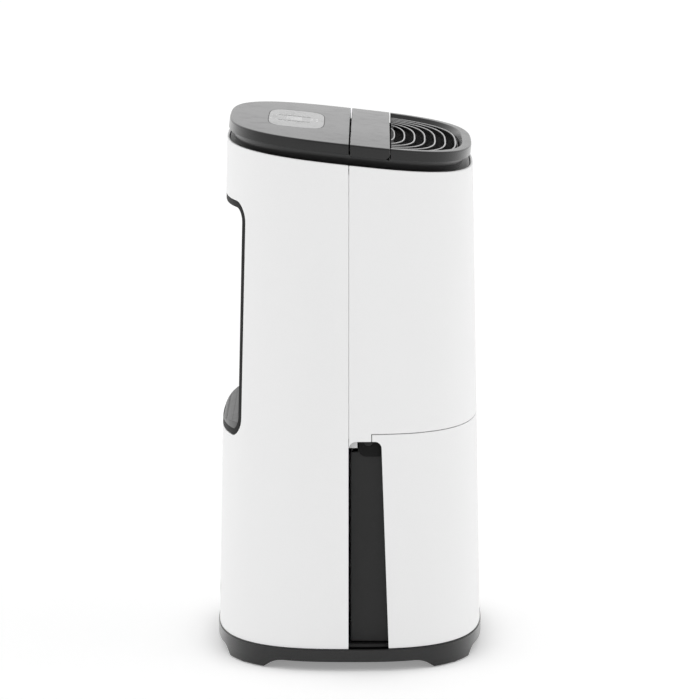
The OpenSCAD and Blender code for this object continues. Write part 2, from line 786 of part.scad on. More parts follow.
base_skirt();
foot_pads();
rear_shell();
front_shell();
inner_frame();
base_screws();
neck_ring();
control_panel();
touch_window();
display_board();
outlet_ring();
outlet_grille();
handle_well();
handle_guides();
carry_handle();
fan_housing();
outlet_duct();
fan_motor();
motor_screws();
fan_shaft();
fan_impeller();
compressor();
compressor_base();
compressor_mounts();
compressor_nuts();
accumulator();
evaporator_coil();
condenser_coil();
refrigerant_pipes();
coil_shroud();
drip_tray();
drip_spout();
run_capacitor();
main_board();
humidity_sensor();
tank_switch();
cord_gland();
drain_port();
drain_bung();
intake_frame();
filter_cover();
dust_filter();
water_tank();
tank_lid();
tank_cover();
tank_handle();
handle_pivots();
float_bracket();
tank_float();
float_magnet();
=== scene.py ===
"""Looks of a tower dehumidifier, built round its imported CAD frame.

Each sub-assembly is a class that holds its sizes in millimetres, in the part's own frame: +Z up, the
tank and air outlet face -Y, the intake faces +Y. Solids are worked in millimetres and turned into
metres when a piece is finished.
"""
import logging
import math
from dataclasses import dataclass, field
from enum import Enum
from typing import Any, Callable, Iterable, Sequence

import bmesh
import bpy
from mathutils import Matrix, Vector


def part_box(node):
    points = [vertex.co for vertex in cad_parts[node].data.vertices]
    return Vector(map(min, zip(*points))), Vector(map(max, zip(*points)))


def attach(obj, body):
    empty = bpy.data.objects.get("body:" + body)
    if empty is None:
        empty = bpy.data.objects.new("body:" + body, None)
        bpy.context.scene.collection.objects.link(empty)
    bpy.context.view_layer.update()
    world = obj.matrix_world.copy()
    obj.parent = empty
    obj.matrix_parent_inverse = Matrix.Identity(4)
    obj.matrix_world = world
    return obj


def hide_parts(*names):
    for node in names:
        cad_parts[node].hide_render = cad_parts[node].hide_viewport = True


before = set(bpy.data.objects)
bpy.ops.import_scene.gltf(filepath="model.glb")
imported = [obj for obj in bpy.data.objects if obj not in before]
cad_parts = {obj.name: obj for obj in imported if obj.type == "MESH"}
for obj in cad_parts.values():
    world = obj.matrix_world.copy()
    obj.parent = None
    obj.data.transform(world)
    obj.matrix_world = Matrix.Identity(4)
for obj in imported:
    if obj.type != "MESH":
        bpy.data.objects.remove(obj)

log = logging.getLogger("dehumidifier")
MM = 0.001
FAR = 400.0
Point = tuple[float, float]
Size = tuple[float, float, float]
Colour = tuple[float, float, float, float]
CRISP = math.radians(38.0)
FOLD = math.radians(32.0)
BEND = math.radians(50.0)
HALVINGS = 30


class Axis(Enum):
    """The direction that a drawing is extruded in."""

    X = Matrix(((0, 0, 1), (1, 0, 0), (0, 1, 0)))
    Y = Matrix(((1, 0, 0), (0, 0, 1), (0, 1, 0)))
    Z = Matrix(((1, 0, 0), (0, 1, 0), (0, 0, 1)))


class Combine(Enum):
    """How two solids are put together."""

    JOIN = "UNION"
    CUT = "DIFFERENCE"
    MEET = "INTERSECT"


# ---- Shader maths ----


class Wire:
    """A value socket that adds Math nodes when it is used in an expression."""

    def __init__(self, bench: "Bench", socket: bpy.types.NodeSocket) -> None:
        """Keeps the socket and the material it belongs to."""
        self.bench = bench
        self.socket = socket

    def _maths(self, how: str, a: Any, b: Any) -> "Wire":
        """Adds one Math node.

        Args:
            how: the node's operation.
            a: its first value or wire.
            b: its second value or wire.

        Returns:
            The node's result.
        """
        return Wire(self.bench, self.bench.node("Math", {"operation": how}, {0: a, 1: b}).outputs[0])

    def __add__(self, other: Any) -> "Wire":
        """Sum."""
        return self._maths("ADD", self, other)

    def __radd__(self, other: Any) -> "Wire":
        """Sum, from the left."""
        return self._maths("ADD", other, self)

    def __sub__(self, other: Any) -> "Wire":
        """Difference."""
        return self._maths("SUBTRACT", self, other)

    def __rsub__(self, other: Any) -> "Wire":
        """Difference, from the left."""
        return self._maths("SUBTRACT", other, self)

    def __mul__(self, other: Any) -> "Wire":
        """Product."""
        return self._maths("MULTIPLY", self, other)

    def ramp(self, low: float, high: float) -> "Wire":
        """Turns the range low to high into 0 to 1, smoothly.

        Args:
            low: the value that becomes 0.
            high: the value that becomes 1.

        Returns:
            The smoothed value.
        """
        made = self.bench.node("MapRange", {"interpolation_type": "SMOOTHSTEP"},
                               {"Value": self, "From Min": low, "From Max": high})
        return Wire(self.bench, made.outputs["Result"])


class Bench:
    """One material being made."""

    def __init__(self, name: str) -> None:
        """Starts a material with a Principled shader."""
        self.material = bpy.data.materials.new(name)
        self.material.use_nodes = True
        self.tree = self.material.node_tree
        self.tree.nodes.clear()
        self.shader = self.node("BsdfPrincipled")
        out = self.node("OutputMaterial")
        self.tree.links.new(self.shader.outputs[0], out.inputs["Surface"])
        self.place = self.node("TexCoord").outputs["Object"]

    def node(self, kind: str, settings: dict[str, Any] | None = None,
             values: dict[Any, Any] | None = None) -> bpy.types.Node:
        """Adds a node.

        Args:
            kind: the node's type, without its ShaderNode prefix.
            settings: the node's own settings, set first.
            values: what each input socket takes, a number, a colour, a wire or a socket.

        Returns:
            The node.
        """
        made = self.tree.nodes.new("ShaderNode" + kind)
        for key, value in (settings or {}).items():
            setattr(made, key, value)
        for key, value in (values or {}).items():
            self.feed(made.inputs[key], value)
        return made

    def feed(self, socket: bpy.types.NodeSocket, value: Any) -> None:
        """Sets a socket's value, or links to it.

        Args:
            socket: the input socket.
            value: a value, a wire or another socket.
        """
        if isinstance(value, Wire):
            self.tree.links.new(value.socket, socket)
        elif isinstance(value, bpy.types.NodeSocket):
            self.tree.links.new(value, socket)
        else:
            socket.default_value = value

    def wave(self, scale: float, detail: float = 3.0, stretch: Size = (1.0, 1.0, 1.0)) -> Wire:
        """Noise over the surface.

        Args:
            scale: features to the metre.
            detail: octaves.
            stretch: how the pattern is squeezed along each axis.

        Returns:
            The noise, about 0.5 on average.
        """
        at = self.node("Mapping", None, {"Vector": self.place, "Scale": stretch}).outputs[0]
        made = self.node("TexNoise", None, {"Vector": at, "Scale": scale, "Detail": detail})
        return Wire(self, made.outputs[0])

    def cells(self, scale: float) -> Wire:
        """Distance to the middle of random cells, scale of them to the metre."""
        made = self.node("TexVoronoi", None, {"Vector": self.place, "Scale": scale})
        return Wire(self, made.outputs["Distance"])

    def blend(self, a: Any, b: Any, share: Any) -> bpy.types.NodeSocket:
        """Mixes two colours.

        Args:
            a: the first colour.
            b: the second colour.
            share: how much of the second.

        Returns:
            The mixed colour's socket.
        """
        made = self.node("Mix", {"data_type": "RGBA"}, {"Factor": share, 6: a, 7: b})
        return made.outputs[2]

    def bump(self, height: Wire, depth: float) -> None:
        """Feeds a height through a Bump node to the shader.

        Args:
            height: the height, 0 to 1.
            depth: what 1 stands for, in metres.
        """
        made = self.node("Bump", None, {"Height": height, "Distance": depth, "Strength": 1.0})
        self.feed(self.shader.inputs["Normal"], made.outputs[0])

    def set(self, **values: Any) -> None:
        """Sets the shader's own sockets, by name with _ for a space."""
        for key, value in values.items():
            self.feed(self.shader.inputs[key.replace("_", " ")], value)


def grey(value: float, warmth: float = 0.0) -> Colour:
    """A neutral colour.

    Args:
        value: its linear brightness.
        warmth: how far it leans to red from blue.

    Returns:
        The colour, opaque.
    """
    return (value * (1 + warmth), value, value * (1 - warmth), 1.0)


# ---- Finishes ----


@dataclass(frozen=True)
class Finish:
    """What every finish has: a name and the record's slot it stands for."""

    name: str
    slot: str

    def make(self) -> bpy.types.Material:
        """Builds the material, or gives the one already built."""
        found = bpy.data.materials.get(self.name)
        if found is not None:
            return found
        bench = Bench(self.name)
        self.dress(bench)
        return bench.material

    def dress(self, bench: Bench) -> None:
        """Sets up the shader. Each kind of finish has its own way."""
        raise NotImplementedError


@dataclass(frozen=True)
class Moulding(Finish):
    """Moulded plastic: spark-eroded texture, slow flow marks and faint handling marks."""

    colour: Colour = (0.8, 0.8, 0.8, 1.0)
    rough: float = 0.35
    uneven: float = 0.03
    grain: float = 900.0
    depth: float = 0.00004
    gleam: float = 0.5
    # Height in metres below which the colour is painted black as painted shade; 0 for none.
    foot: float = 0.0

    def dress(self, bench: Bench) -> None:
        """Sets up the shader. Below the foot's height, if it has one, the colour is painted black as painted
        shade at the floor of a recess.
        """
        flow = bench.wave(9.0, 2.0, (1.0, 1.0, 0.35))
        speckle = bench.wave(self.grain * 0.8, 1.0)
        pits = bench.cells(self.grain)
        dark = tuple(c * (1 - self.uneven * 2) for c in self.colour[:3]) + (1.0,)
        colour = bench.blend(dark, self.colour, (flow * 0.7 + speckle * 0.3).ramp(0.2, 0.65))
        # Painted shade: below the foot's height the colour turns black, standing in for shade at the floor of
        # a recess.
        if self.foot:
            up = Wire(bench, bench.node("SeparateXYZ", None, {"Vector": bench.place}).outputs["Z"])
            colour = bench.blend(grey(0.012), colour, up.ramp(self.foot - 0.0001, self.foot + 0.0001))
        rub = bench.wave(60.0, 4.0, (1.0, 1.0, 0.5)).ramp(0.45, 0.75)
        bench.set(Base_Color=colour, Specular_IOR_Level=self.gleam, IOR=1.5,
                  Roughness=self.rough + (flow - 0.5) * self.uneven + rub * 0.03 + speckle * 0.04 - 0.03)
        bench.bump(pits * 0.6 + speckle * 0.4, self.depth)


@dataclass(frozen=True)
class Sheen(Finish):
    """Polished plastic behind a hard coat, with a faint smear of finger marks."""

    colour: Colour = (0.02, 0.02, 0.02, 1.0)
    rough: float = 0.12

    def dress(self, bench: Bench) -> None:
        """Sets up the shader."""
        smear = bench.wave(45.0, 5.0, (1.0, 2.5, 1.0)).ramp(0.42, 0.8)
        dust = bench.cells(700.0)
        bench.set(Base_Color=bench.blend(self.colour, grey(self.colour[1] * 1.6 + 0.01), smear * 0.5),
                  Roughness=self.rough + smear * 0.1, IOR=1.52,
                  Coat_Weight=0.6, Coat_Roughness=0.05)
        bench.bump(dust, 0.000004)


@dataclass(frozen=True)
class Metal(Finish):
    """Metal with drawing lines one way, and dull patches."""

    colour: Colour = (0.6, 0.6, 0.6, 1.0)
    rough: float = 0.3
    lines: Size = (1.0, 1.0, 30.0)
    stain: float = 0.25

    def dress(self, bench: Bench) -> None:
        """Sets up the shader."""
        drawn = bench.wave(40.0, 3.0, self.lines)
        dull = bench.wave(35.0, 4.0).ramp(0.45, 0.7)
        low = tuple(c * (1 - self.stain) for c in self.colour[:3]) + (1.0,)
        bench.set(Base_Color=bench.blend(self.colour, low, dull * 0.6 + drawn * 0.3),
                  Roughness=self.rough + dull * 0.12 + drawn * 0.08, Metallic=1.0)
        bench.bump(drawn, 0.00002)


@dataclass(frozen=True)
class Enamel(Finish):
    """Sprayed paint on steel, with orange peel and a few chips of dust."""

    colour: Colour = (0.02, 0.02, 0.02, 1.0)

    def dress(self, bench: Bench) -> None:
        """Sets up the shader."""
        peel = bench.wave(350.0, 2.0)
        dust = bench.wave(70.0, 5.0).ramp(0.5, 0.85)
        bench.set(Base_Color=bench.blend(self.colour, grey(0.09), dust * 0.35),
                  Roughness=0.32 + dust * 0.25 + peel * 0.05, IOR=1.5)
        bench.bump(peel, 0.00006)


@dataclass(frozen=True)
class Rubber(Finish):
    """Matt rubber with a blooming surface."""

    colour: Colour = (0.02, 0.02, 0.02, 1.0)

    def dress(self, bench: Bench) -> None:
        """Sets up the shader."""
        bloom = bench.wave(90.0, 5.0).ramp(0.4, 0.8)
        fine = bench.wave(1400.0, 2.0)
        bench.set(Base_Color=bench.blend(self.colour, grey(0.07), bloom * 0.35),
                  Roughness=0.62 + bloom * 0.2 + fine * 0.05, IOR=1.45)
        bench.bump(fine, 0.00003)


@dataclass(frozen=True)
class Circuit(Finish):
    """Green solder mask with copper runs under it and pale pads."""

    def dress(self, bench: Bench) -> None:
        """Sets up the shader."""
        runs = Wire(bench, bench.node("TexBrick", {"offset": 0.37, "squash": 1.6}, {
            "Vector": bench.place, "Scale": 90.0, "Mortar Size": 0.06,
            "Color1": grey(0.0), "Color2": grey(0.0), "Mortar": grey(1.0)}).outputs["Fac"])
        pads = 1 - bench.cells(260.0).ramp(0.12, 0.2)
        mask = bench.blend((0.01, 0.11, 0.035, 1.0), (0.03, 0.2, 0.06, 1.0), runs)
        bench.set(Base_Color=bench.blend(mask, (0.62, 0.6, 0.55, 1.0), pads),
                  Roughness=0.34 - runs * 0.08, Metallic=pads * 0.8, IOR=1.5)
        bench.bump(runs * 0.6 + pads * 0.4, 0.00008)


@dataclass(frozen=True)
class Foam(Finish):
    """Closed-cell foam."""

    def dress(self, bench: Bench) -> None:
        """Sets up the shader."""
        holes = bench.cells(900.0)
        stain = bench.wave(50.0, 4.0).ramp(0.4, 0.8)
        bench.set(Base_Color=bench.blend(grey(0.78, 0.02), grey(0.6, 0.05), stain * 0.6 + holes * 0.2),
                  Roughness=0.8 - holes * 0.1, IOR=1.4)
        bench.bump(holes, 0.0003)


class Stuff:
    """The finishes of this machine."""

    WHITE = Moulding("white_shell_plastic", "white_plastic", grey(0.905), 0.34, 0.012, 800.0, 0.00003)
    BLACK = Moulding("black_satin_plastic", "black_plastic", grey(0.005), 0.2, 0.05, 900.0, 0.000012)
    # Painted light: the same black plastic as the trim, painted lighter so the neck under the rim reads
    # brighter.
    NECK_PAINTED_LIGHT = Moulding("black_neck_plastic_painted_lighter", "black_plastic", grey(0.022), 0.3, 0.05, 900.0, 0.000012)
    SHADE = Moulding("black_matt_plastic", "black_plastic", grey(0.004), 0.6, 0.05, 900.0, 0.00003,
                     gleam=0.2)
    DARK = Moulding("black_tank_plastic", "black_plastic", grey(0.013), 0.42, 0.08, 700.0, 0.00004,
                    gleam=0.35)
    GLOSS = Sheen("touch_window_gloss", "gloss_black", grey(0.02), 0.14)
    PRINT = Moulding("display_print", "gloss_black", grey(0.86), 0.3, 0.03, 600.0, 0.00001)
    SMOKE = Moulding("display_shadow", "gloss_black", grey(0.12), 0.35, 0.05, 600.0, 0.00001)
    # Painted highlight: light grey on the blade tops stands in for the bright glints along the outlet blades'
    # edges.
    BLADE_GLINT = Moulding("blade_tip_painted_highlight", "grey_plastic", grey(0.6), 0.32, 0.04, 900.0, 0.00002)
    GREY = Moulding("grey_frame_plastic", "grey_plastic", grey(0.55), 0.5, 0.03, 500.0, 0.00006)
    # The bay's grey plastic is painted black below 26 mm: painted shade at the floor of the tank bay, under
    # the tank.
    BAY_PAINTED_SHADE = Moulding("bay_plastic_painted_shade", "grey_plastic", grey(0.62), 0.5, 0.03, 500.0, 0.00006, foot=0.0262)
    SWELL = Moulding("grey_swell_plastic", "black_plastic", grey(0.03), 0.34, 0.08, 800.0, 0.00004)
    RUBBER = Rubber("mount_rubber", "rubber")
    STEEL = Metal("turned_steel", "steel", grey(0.58), 0.3)
    CAN = Enamel("compressor_enamel", "painted_steel")
    ALU = Metal("fin_aluminium", "aluminium", grey(0.74), 0.34, (30.0, 1.0, 1.0), 0.15)
    COPPER = Metal("pipe_copper", "copper", (0.74, 0.36, 0.2, 1.0), 0.28, (1.0, 1.0, 12.0), 0.35)
    BOARD = Circuit("circuit_board", "circuit_board")
    NET = Moulding("filter_net", "filter_mesh", grey(0.16), 0.6, 0.08, 1200.0, 0.00005)
    FOAM = Foam("float_foam", "float_foam")


# ---- Forms and solids ----


@dataclass(frozen=True)
class Form:
    """A form with a superellipse plan: the upright casing, or the cap on its slope."""

    half_w: float
    half_d: float
    squareness: float
    lean: float = 0.0
    base: float = 0.0
    lift: float = 0.0
    slope: float = 0.0

    def at(self, angle: float, inset: float, height: float) -> Vector:
        """A point of the form's surface.

        Args:
            angle: the direction in plan, in radians.
            inset: how far inside the surface.
            height: the height, or on a slope the distance above it.

        Returns:
            The point, in millimetres.
        """
        drawn = inset + (height - self.base) * self.lean
        c, s = math.cos(angle), math.sin(angle)
        power = 2 / self.squareness
        x = (self.half_w - drawn) * math.copysign(abs(c) ** power, c)
        y = (self.half_d - drawn) * math.copysign(abs(s) ** power, s)
        return self.place() @ Vector((x, y, height))

    def place(self) -> Matrix:
        """What carries the form's own frame to the part's."""
        return Matrix.Translation((0, 0, self.lift)) @ Matrix.Rotation(math.radians(self.slope), 4, "X")


class Solid:
    """A closed mesh being worked on, in millimetres."""

    def __init__(self, mesh: bmesh.types.BMesh | None = None) -> None:
        """Starts with a mesh, or with nothing."""
        self.bm = bmesh.new() if mesh is None else mesh

    @classmethod
    def ring(cls, form: Form, profile: Sequence[Point], segments: int = 192) -> "Solid":
        """Sweeps a closed profile round a form.

        Args:
            form: the form it goes round.
            profile: the profile's corners, each an inset and a height.
            segments: steps round the form.

        Returns:
            The ring.
        """
        return cls._swept(form, [*profile, profile[0]], segments, False)

    @classmethod
    def lump(cls, form: Form, profile: Sequence[Point], segments: int = 192) -> "Solid":
        """Fills a form from the profile's first height to its last.

        Args:
            form: the form.
            profile: insets and heights from the foot to the top.
            segments: steps round the form.

        Returns:
            The solid.
        """
        return cls._swept(form, profile, segments, True)

    @classmethod
    def _swept(cls, form: Form, profile: Sequence[Point], segments: int, closed: bool) -> "Solid":
        """Extrudes a circle ring by ring and lays each ring on the form.

        Args:
            form: the form.
            profile: the inset and height of each ring.
            segments: steps round the form.
            closed: whether the first and last rings are filled; if not, they are the same ring.

        Returns:
            The swept solid.
        """
        bm = bmesh.new()
        bmesh.ops.create_circle(bm, segments=segments, radius=1.0)
        edges = bm.edges[:]
        level = {v: 0 for v in bm.verts}
        first = edges
        for step in range(1, len(profile)):
            made = bmesh.ops.extrude_edge_only(bm, edges=edges)["geom"]
            edges = [g for g in made if isinstance(g, bmesh.types.BMEdge)]
            level.update({g: step for g in made if isinstance(g, bmesh.types.BMVert)})
        for vert, step in level.items():
            vert.co = form.at(math.atan2(vert.co.y, vert.co.x), *profile[step])
        if closed:
            bmesh.ops.edgeloop_fill(bm, edges=first)
            bmesh.ops.edgeloop_fill(bm, edges=edges)
        else:
            bmesh.ops.remove_doubles(bm, verts=bm.verts[:], dist=0.0005)
        bmesh.ops.recalc_face_normals(bm, faces=bm.faces[:])
        return cls(bm)

    @classmethod
    def prism(cls, corners: Sequence[Point], low: float, high: float, axis: Axis = Axis.Z,
              rounds: dict[int, float] | None = None) -> "Solid":
        """Extrudes a drawing.

        Args:
            corners: the drawing's corners.
            low: where it starts along the axis.
            high: where it ends.
            axis: the direction.
            rounds: radius of each corner that is rounded, by its number.

        Returns:
            The prism.
        """
        bm = bmesh.new()
        verts = [bm.verts.new((*corner, low)) for corner in corners]
        bm.faces.new(verts)
        for number, radius in (rounds or {}).items():
            bmesh.ops.bevel(bm, geom=[verts[number]], offset=radius, offset_type="OFFSET", segments=9,
                            profile=0.5, affect="VERTICES", material=-1, clamp_overlap=False)
        made = bmesh.ops.extrude_face_region(bm, geom=bm.faces[:])["geom"]
        moved = [g for g in made if isinstance(g, bmesh.types.BMVert)]
        bmesh.ops.translate(bm, verts=moved, vec=(0, 0, high - low))
        bmesh.ops.transform(bm, matrix=axis.value.to_4x4(), verts=bm.verts[:])
        bmesh.ops.recalc_face_normals(bm, faces=bm.faces[:])
        return cls(bm)

    @classmethod
    def pad(cls, centre: Point, size: Point, radius: float, low: float, high: float,
            axis: Axis = Axis.Z) -> "Solid":
        """Extrudes a rectangle with round corners.

        Args:
            centre: its middle.
            size: its two sides.
            radius: of its corners.
            low: where it starts along the axis.
            high: where it ends.
            axis: the direction.

        Returns:
            The pad.
        """
        (u, v), (w, h) = centre, (size[0] / 2, size[1] / 2)
        return cls.prism([(u - w, v - h), (u + w, v - h), (u + w, v + h), (u - w, v + h)],
                         low, high, axis, {n: radius for n in range(4)})

    @classmethod
    def block(cls, low: Size, high: Size) -> "Solid":
        """A box.

        Args:
            low: its lowest corner.
            high: its highest corner.

        Returns:
            The box.
        """
        bm = bmesh.new()
        bmesh.ops.create_cube(bm, size=1.0)
        middle = [(a + b) / 2 for a, b in zip(low, high)]
        bmesh.ops.scale(bm, vec=[b - a for a, b in zip(low, high)], verts=bm.verts[:])
        bmesh.ops.translate(bm, vec=middle, verts=bm.verts[:])
        return cls(bm)

    @classmethod
    def rod(cls, foot: Size, length: float, radius: float, axis: Axis = Axis.Z,
            segments: int = 48) -> "Solid":
        """A round rod.

        Args:
            foot: the middle of its first end.
            length: along the axis.
            radius: its radius.
            axis: the direction.
            segments: steps round it.

        Returns:
            The rod.
        """
        bm = bmesh.new()
        bmesh.ops.create_cone(bm, cap_ends=True, segments=segments, radius1=radius,
                              radius2=radius, depth=length)
        bmesh.ops.translate(bm, vec=(0, 0, length / 2), verts=bm.verts[:])
        bmesh.ops.transform(bm, matrix=Matrix.Translation(foot) @ axis.value.to_4x4(), verts=bm.verts[:])
        bmesh.ops.recalc_face_normals(bm, faces=bm.faces[:])
        return cls(bm)

    @classmethod
    def turned(cls, profile: Sequence[Point], foot: Size, axis: Axis = Axis.Z) -> "Solid":
        """Spins a profile round an axis.

        Args:
            profile: radius and height of each corner, from the foot to the top; it is closed.
            foot: where the axis starts.
            axis: its direction.

        Returns:
            The turned solid.
        """
        bm = bmesh.new()
        verts = [bm.verts.new((r, 0, h)) for r, h in profile]
        edges = [bm.edges.new(pair) for pair in zip(verts, verts[1:] + verts[:1])]
        bmesh.ops.spin(bm, geom=verts + edges, cent=(0, 0, 0), axis=(0, 0, 1), angle=math.tau,
                       steps=48, use_merge=True)
        bmesh.ops.remove_doubles(bm, verts=bm.verts[:], dist=0.0005)
        bmesh.ops.transform(bm, matrix=Matrix.Translation(foot) @ axis.value.to_4x4(), verts=bm.verts[:])
        bmesh.ops.recalc_face_normals(bm, faces=bm.faces[:])
        return cls(bm)

    def turn(self, matrix: Matrix) -> "Solid":
        """Moves the whole solid by a matrix."""
        bmesh.ops.transform(self.bm, matrix=matrix, verts=self.bm.verts[:])
        return self

    def copy(self) -> "Solid":
        """Another one the same."""
        return Solid(self.bm.copy())

    def mirrored(self) -> "Solid":
        """This one and its mirror image across X, as one solid."""
        other = self.copy()
        bmesh.ops.scale(other.bm, vec=(-1, 1, 1), verts=other.bm.verts[:])
        bmesh.ops.reverse_faces(other.bm, faces=other.bm.faces[:])
        return self.gather(other)

    def gather(self, *others: "Solid") -> "Solid":
        """Puts solids that stand apart into one mesh.

        Args:
            others: the solids, which are used up.

        Returns:
            The same solid.
        """
        for other in others:
            spare = bpy.data.meshes.new("spare")
            other.bm.to_mesh(spare)
            self.bm.from_mesh(spare)
            bpy.data.meshes.remove(spare)
            other.bm.free()
        return self

    def cut(self, *others: "Solid") -> "Solid":
        """Takes other solids away."""
        for other in others:
            self._combine(other, Combine.CUT)
        return self

    def meet(self, *others: "Solid") -> "Solid":
        """Keeps only what lies inside the other solids."""
        for other in others:
            self._combine(other, Combine.MEET)
        return self

    def join(self, *others: "Solid") -> "Solid":
        """Adds other solids that touch it."""
        for other in others:
            self._combine(other, Combine.JOIN)
        return self

    def _combine(self, other: "Solid", how: Combine) -> None:
        """Runs one Boolean and keeps its result.

        Args:
            other: the other solid, which is used up.
            how: the way they are put together.
        """
        made = []
        for solid in (self, other):
            mesh = bpy.data.meshes.new("work")
            solid.bm.to_mesh(mesh)
            thing = bpy.data.objects.new("work", mesh)
            bpy.context.scene.collection.objects.link(thing)
            made.append(thing)
        step = made[0].modifiers.new("combine", "BOOLEAN")
        step.operation, step.solver, step.object = how.value, "EXACT", made[1]
        bpy.context.view_layer.update()
        seen = made[0].evaluated_get(bpy.context.evaluated_depsgraph_get())
        result = bpy.data.meshes.new_from_object(seen)
        self.bm.clear()
        self.bm.from_mesh(result)
        meshes = [thing.data for thing in made] + [result]
        for thing in made:
            bpy.data.objects.remove(thing)
        for mesh in meshes:
            bpy.data.meshes.remove(mesh)
        other.bm.free()

    def soften(self, width: float, segments: int = 2, angle: float = FOLD,
               where: Callable[[Vector], bool] | None = None) -> "Solid":
        """Rounds the sharp edges.

        Args:
            width: of the rounding.
            segments: steps across it.
            angle: edges that turn by more than this are sharp.
            where: picks edges by their middle point.

        Returns:
            The same solid.
        """
        bmesh.ops.remove_doubles(self.bm, verts=self.bm.verts[:], dist=0.02)
        bmesh.ops.dissolve_degenerate(self.bm, dist=0.01, edges=self.bm.edges[:])
        sharp = [e for e in self.bm.edges
                 if e.is_manifold and e.calc_face_angle(0.0) > angle
                 and (where is None or where((e.verts[0].co + e.verts[1].co) / 2))]
        bmesh.ops.bevel(self.bm, geom=sharp, offset=width, offset_type="OFFSET", segments=segments,
                        profile=0.5, affect="EDGES", material=-1, clamp_overlap=False, loop_slide=True)
        return self

    def finish(self, name: str, look: Finish, body: str, replaces: Iterable[str] = ()) -> None:
        """Makes the piece.

        Args:
            name: the piece's name.
            look: its finish.
            body: the CAD body it rides on.
            replaces: the CAD nodes it stands for.
        """
        bmesh.ops.scale(self.bm, vec=(MM, MM, MM), verts=self.bm.verts[:])
        for face in self.bm.faces:
            face.smooth = True
            face.material_index = 0
        for edge in self.bm.edges:
            edge.smooth = not edge.is_manifold or edge.calc_face_angle(0.0) < CRISP
        mesh = bpy.data.meshes.new(name)
        self.bm.to_mesh(mesh)
        self.bm.free()
        mesh.materials.append(look.make())
        piece = bpy.data.objects.new(name, mesh)
        bpy.context.scene.collection.objects.link(piece)
        even = piece.modifiers.new("even_normals", "WEIGHTED_NORMAL")
        even.keep_sharp = True
        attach(piece, body)
        if replaces:
            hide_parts(*replaces)
        log.info("%s: %d faces on %s", name, len(mesh.polygons), body)


def dress(node: str, look: Finish, edge: float = 0.3) -> None:
    """Gives a CAD node its finish, and small roundings on its edges.

    Args:
        node: the CAD node's name.
        look: its finish.
        edge: width of the roundings in millimetres, or 0 for none.
    """
    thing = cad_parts[node]
    material = look.make()
    if not thing.material_slots:
        thing.data.materials.append(material)
    for place in thing.material_slots:
        place.material = material
    if edge:
        weld = thing.modifiers.new("weld", "WELD")
        weld.merge_threshold = 0.00002
        rounding = thing.modifiers.new("rounding", "BEVEL")
        rounding.width, rounding.segments = edge * MM, 2
        rounding.limit_method, rounding.angle_limit = "ANGLE", FOLD
        rounding.use_clamp_overlap = True
    log.info("%s: dressed in %s", node, look.name)


# ---- The machine ----


@dataclass
class Plans:
    """The two forms that every outer part follows, sized from the frame."""

    lean_angle: float = 1.1
    squareness: float = 2.8
    cap_squareness: float = 3.0
    cap_w: float = 294.0
    cap_d: float = 220.0
    slope: float = 6.3
    rim_z: float = 453.0
    cap_z: float = 462.0
    rim_h: float = 9.0
    crown: float = 1.2
    skirt_h: float = field(init=False)
    skirt: Form = field(init=False)
    casing: Form = field(init=False)
    cap: Form = field(init=False)

    def __post_init__(self) -> None:
        """Takes the skirt's size from the frame and works out the forms."""
        low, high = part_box("base_skirt")
        half_w, half_d = (high.x - low.x) / 2 / MM, (high.y - low.y) / 2 / MM
        self.skirt_h = high.z / MM
        self.skirt = Form(half_w, half_d, self.squareness)
        self.casing = Form(half_w - 1.4, half_d - 0.9, self.squareness,
                           math.tan(math.radians(self.lean_angle)), self.skirt_h)
        self.cap = Form(self.cap_w / 2, self.cap_d / 2, self.cap_squareness,
                        lift=self.cap_z, slope=self.slope)

    def above(self, height: float) -> Solid:
        """Everything above a plane that slopes as the cap does.

        Args:
            height: the plane's height in the middle of the machine.

        Returns:
            The solid.
        """
        block = Solid.block((-FAR, -FAR, 0), (FAR, FAR, FAR))
        return block.turn(Matrix.Translation((0, 0, height))
                          @ Matrix.Rotation(math.radians(self.slope), 4, "X"))

    def slab(self, front: float, back: float) -> Solid:
        """Everything at the cap's height between two planes across the machine."""
        return Solid.block((-FAR, front, 300), (FAR, back, 600))

    def edge(self) -> list[Point]:
        """The cap's rounded upper edge, as insets and heights."""
        top = self.rim_h
        return [(0.0, top - 1.5), (0.12, top - 0.9), (0.45, top - 0.42), (0.9, top - 0.12), (1.5, top)]

    def rise(self, inset: float) -> float:
        """Height of the crowned top at an inset, above the rim's foot."""
        return self.rim_h + self.crown * (1 - (1 - (inset - 1.5) / (self.cap_d / 2)) ** 2)

    def crowned(self, low: float) -> Solid:
        """The cap's solid with its rounded edge and its slight crown.

        Args:
            low: height of its underside above the rim's foot.

        Returns:
            The solid.
        """
        steps = (5.0, 12.0, 22.0, 35.0, 50.0, 66.0, 82.0, 95.0, 104.0)
        return Solid.lump(self.cap, [(0.0, low), *self.edge(), *((step, self.rise(step)) for step in steps)])


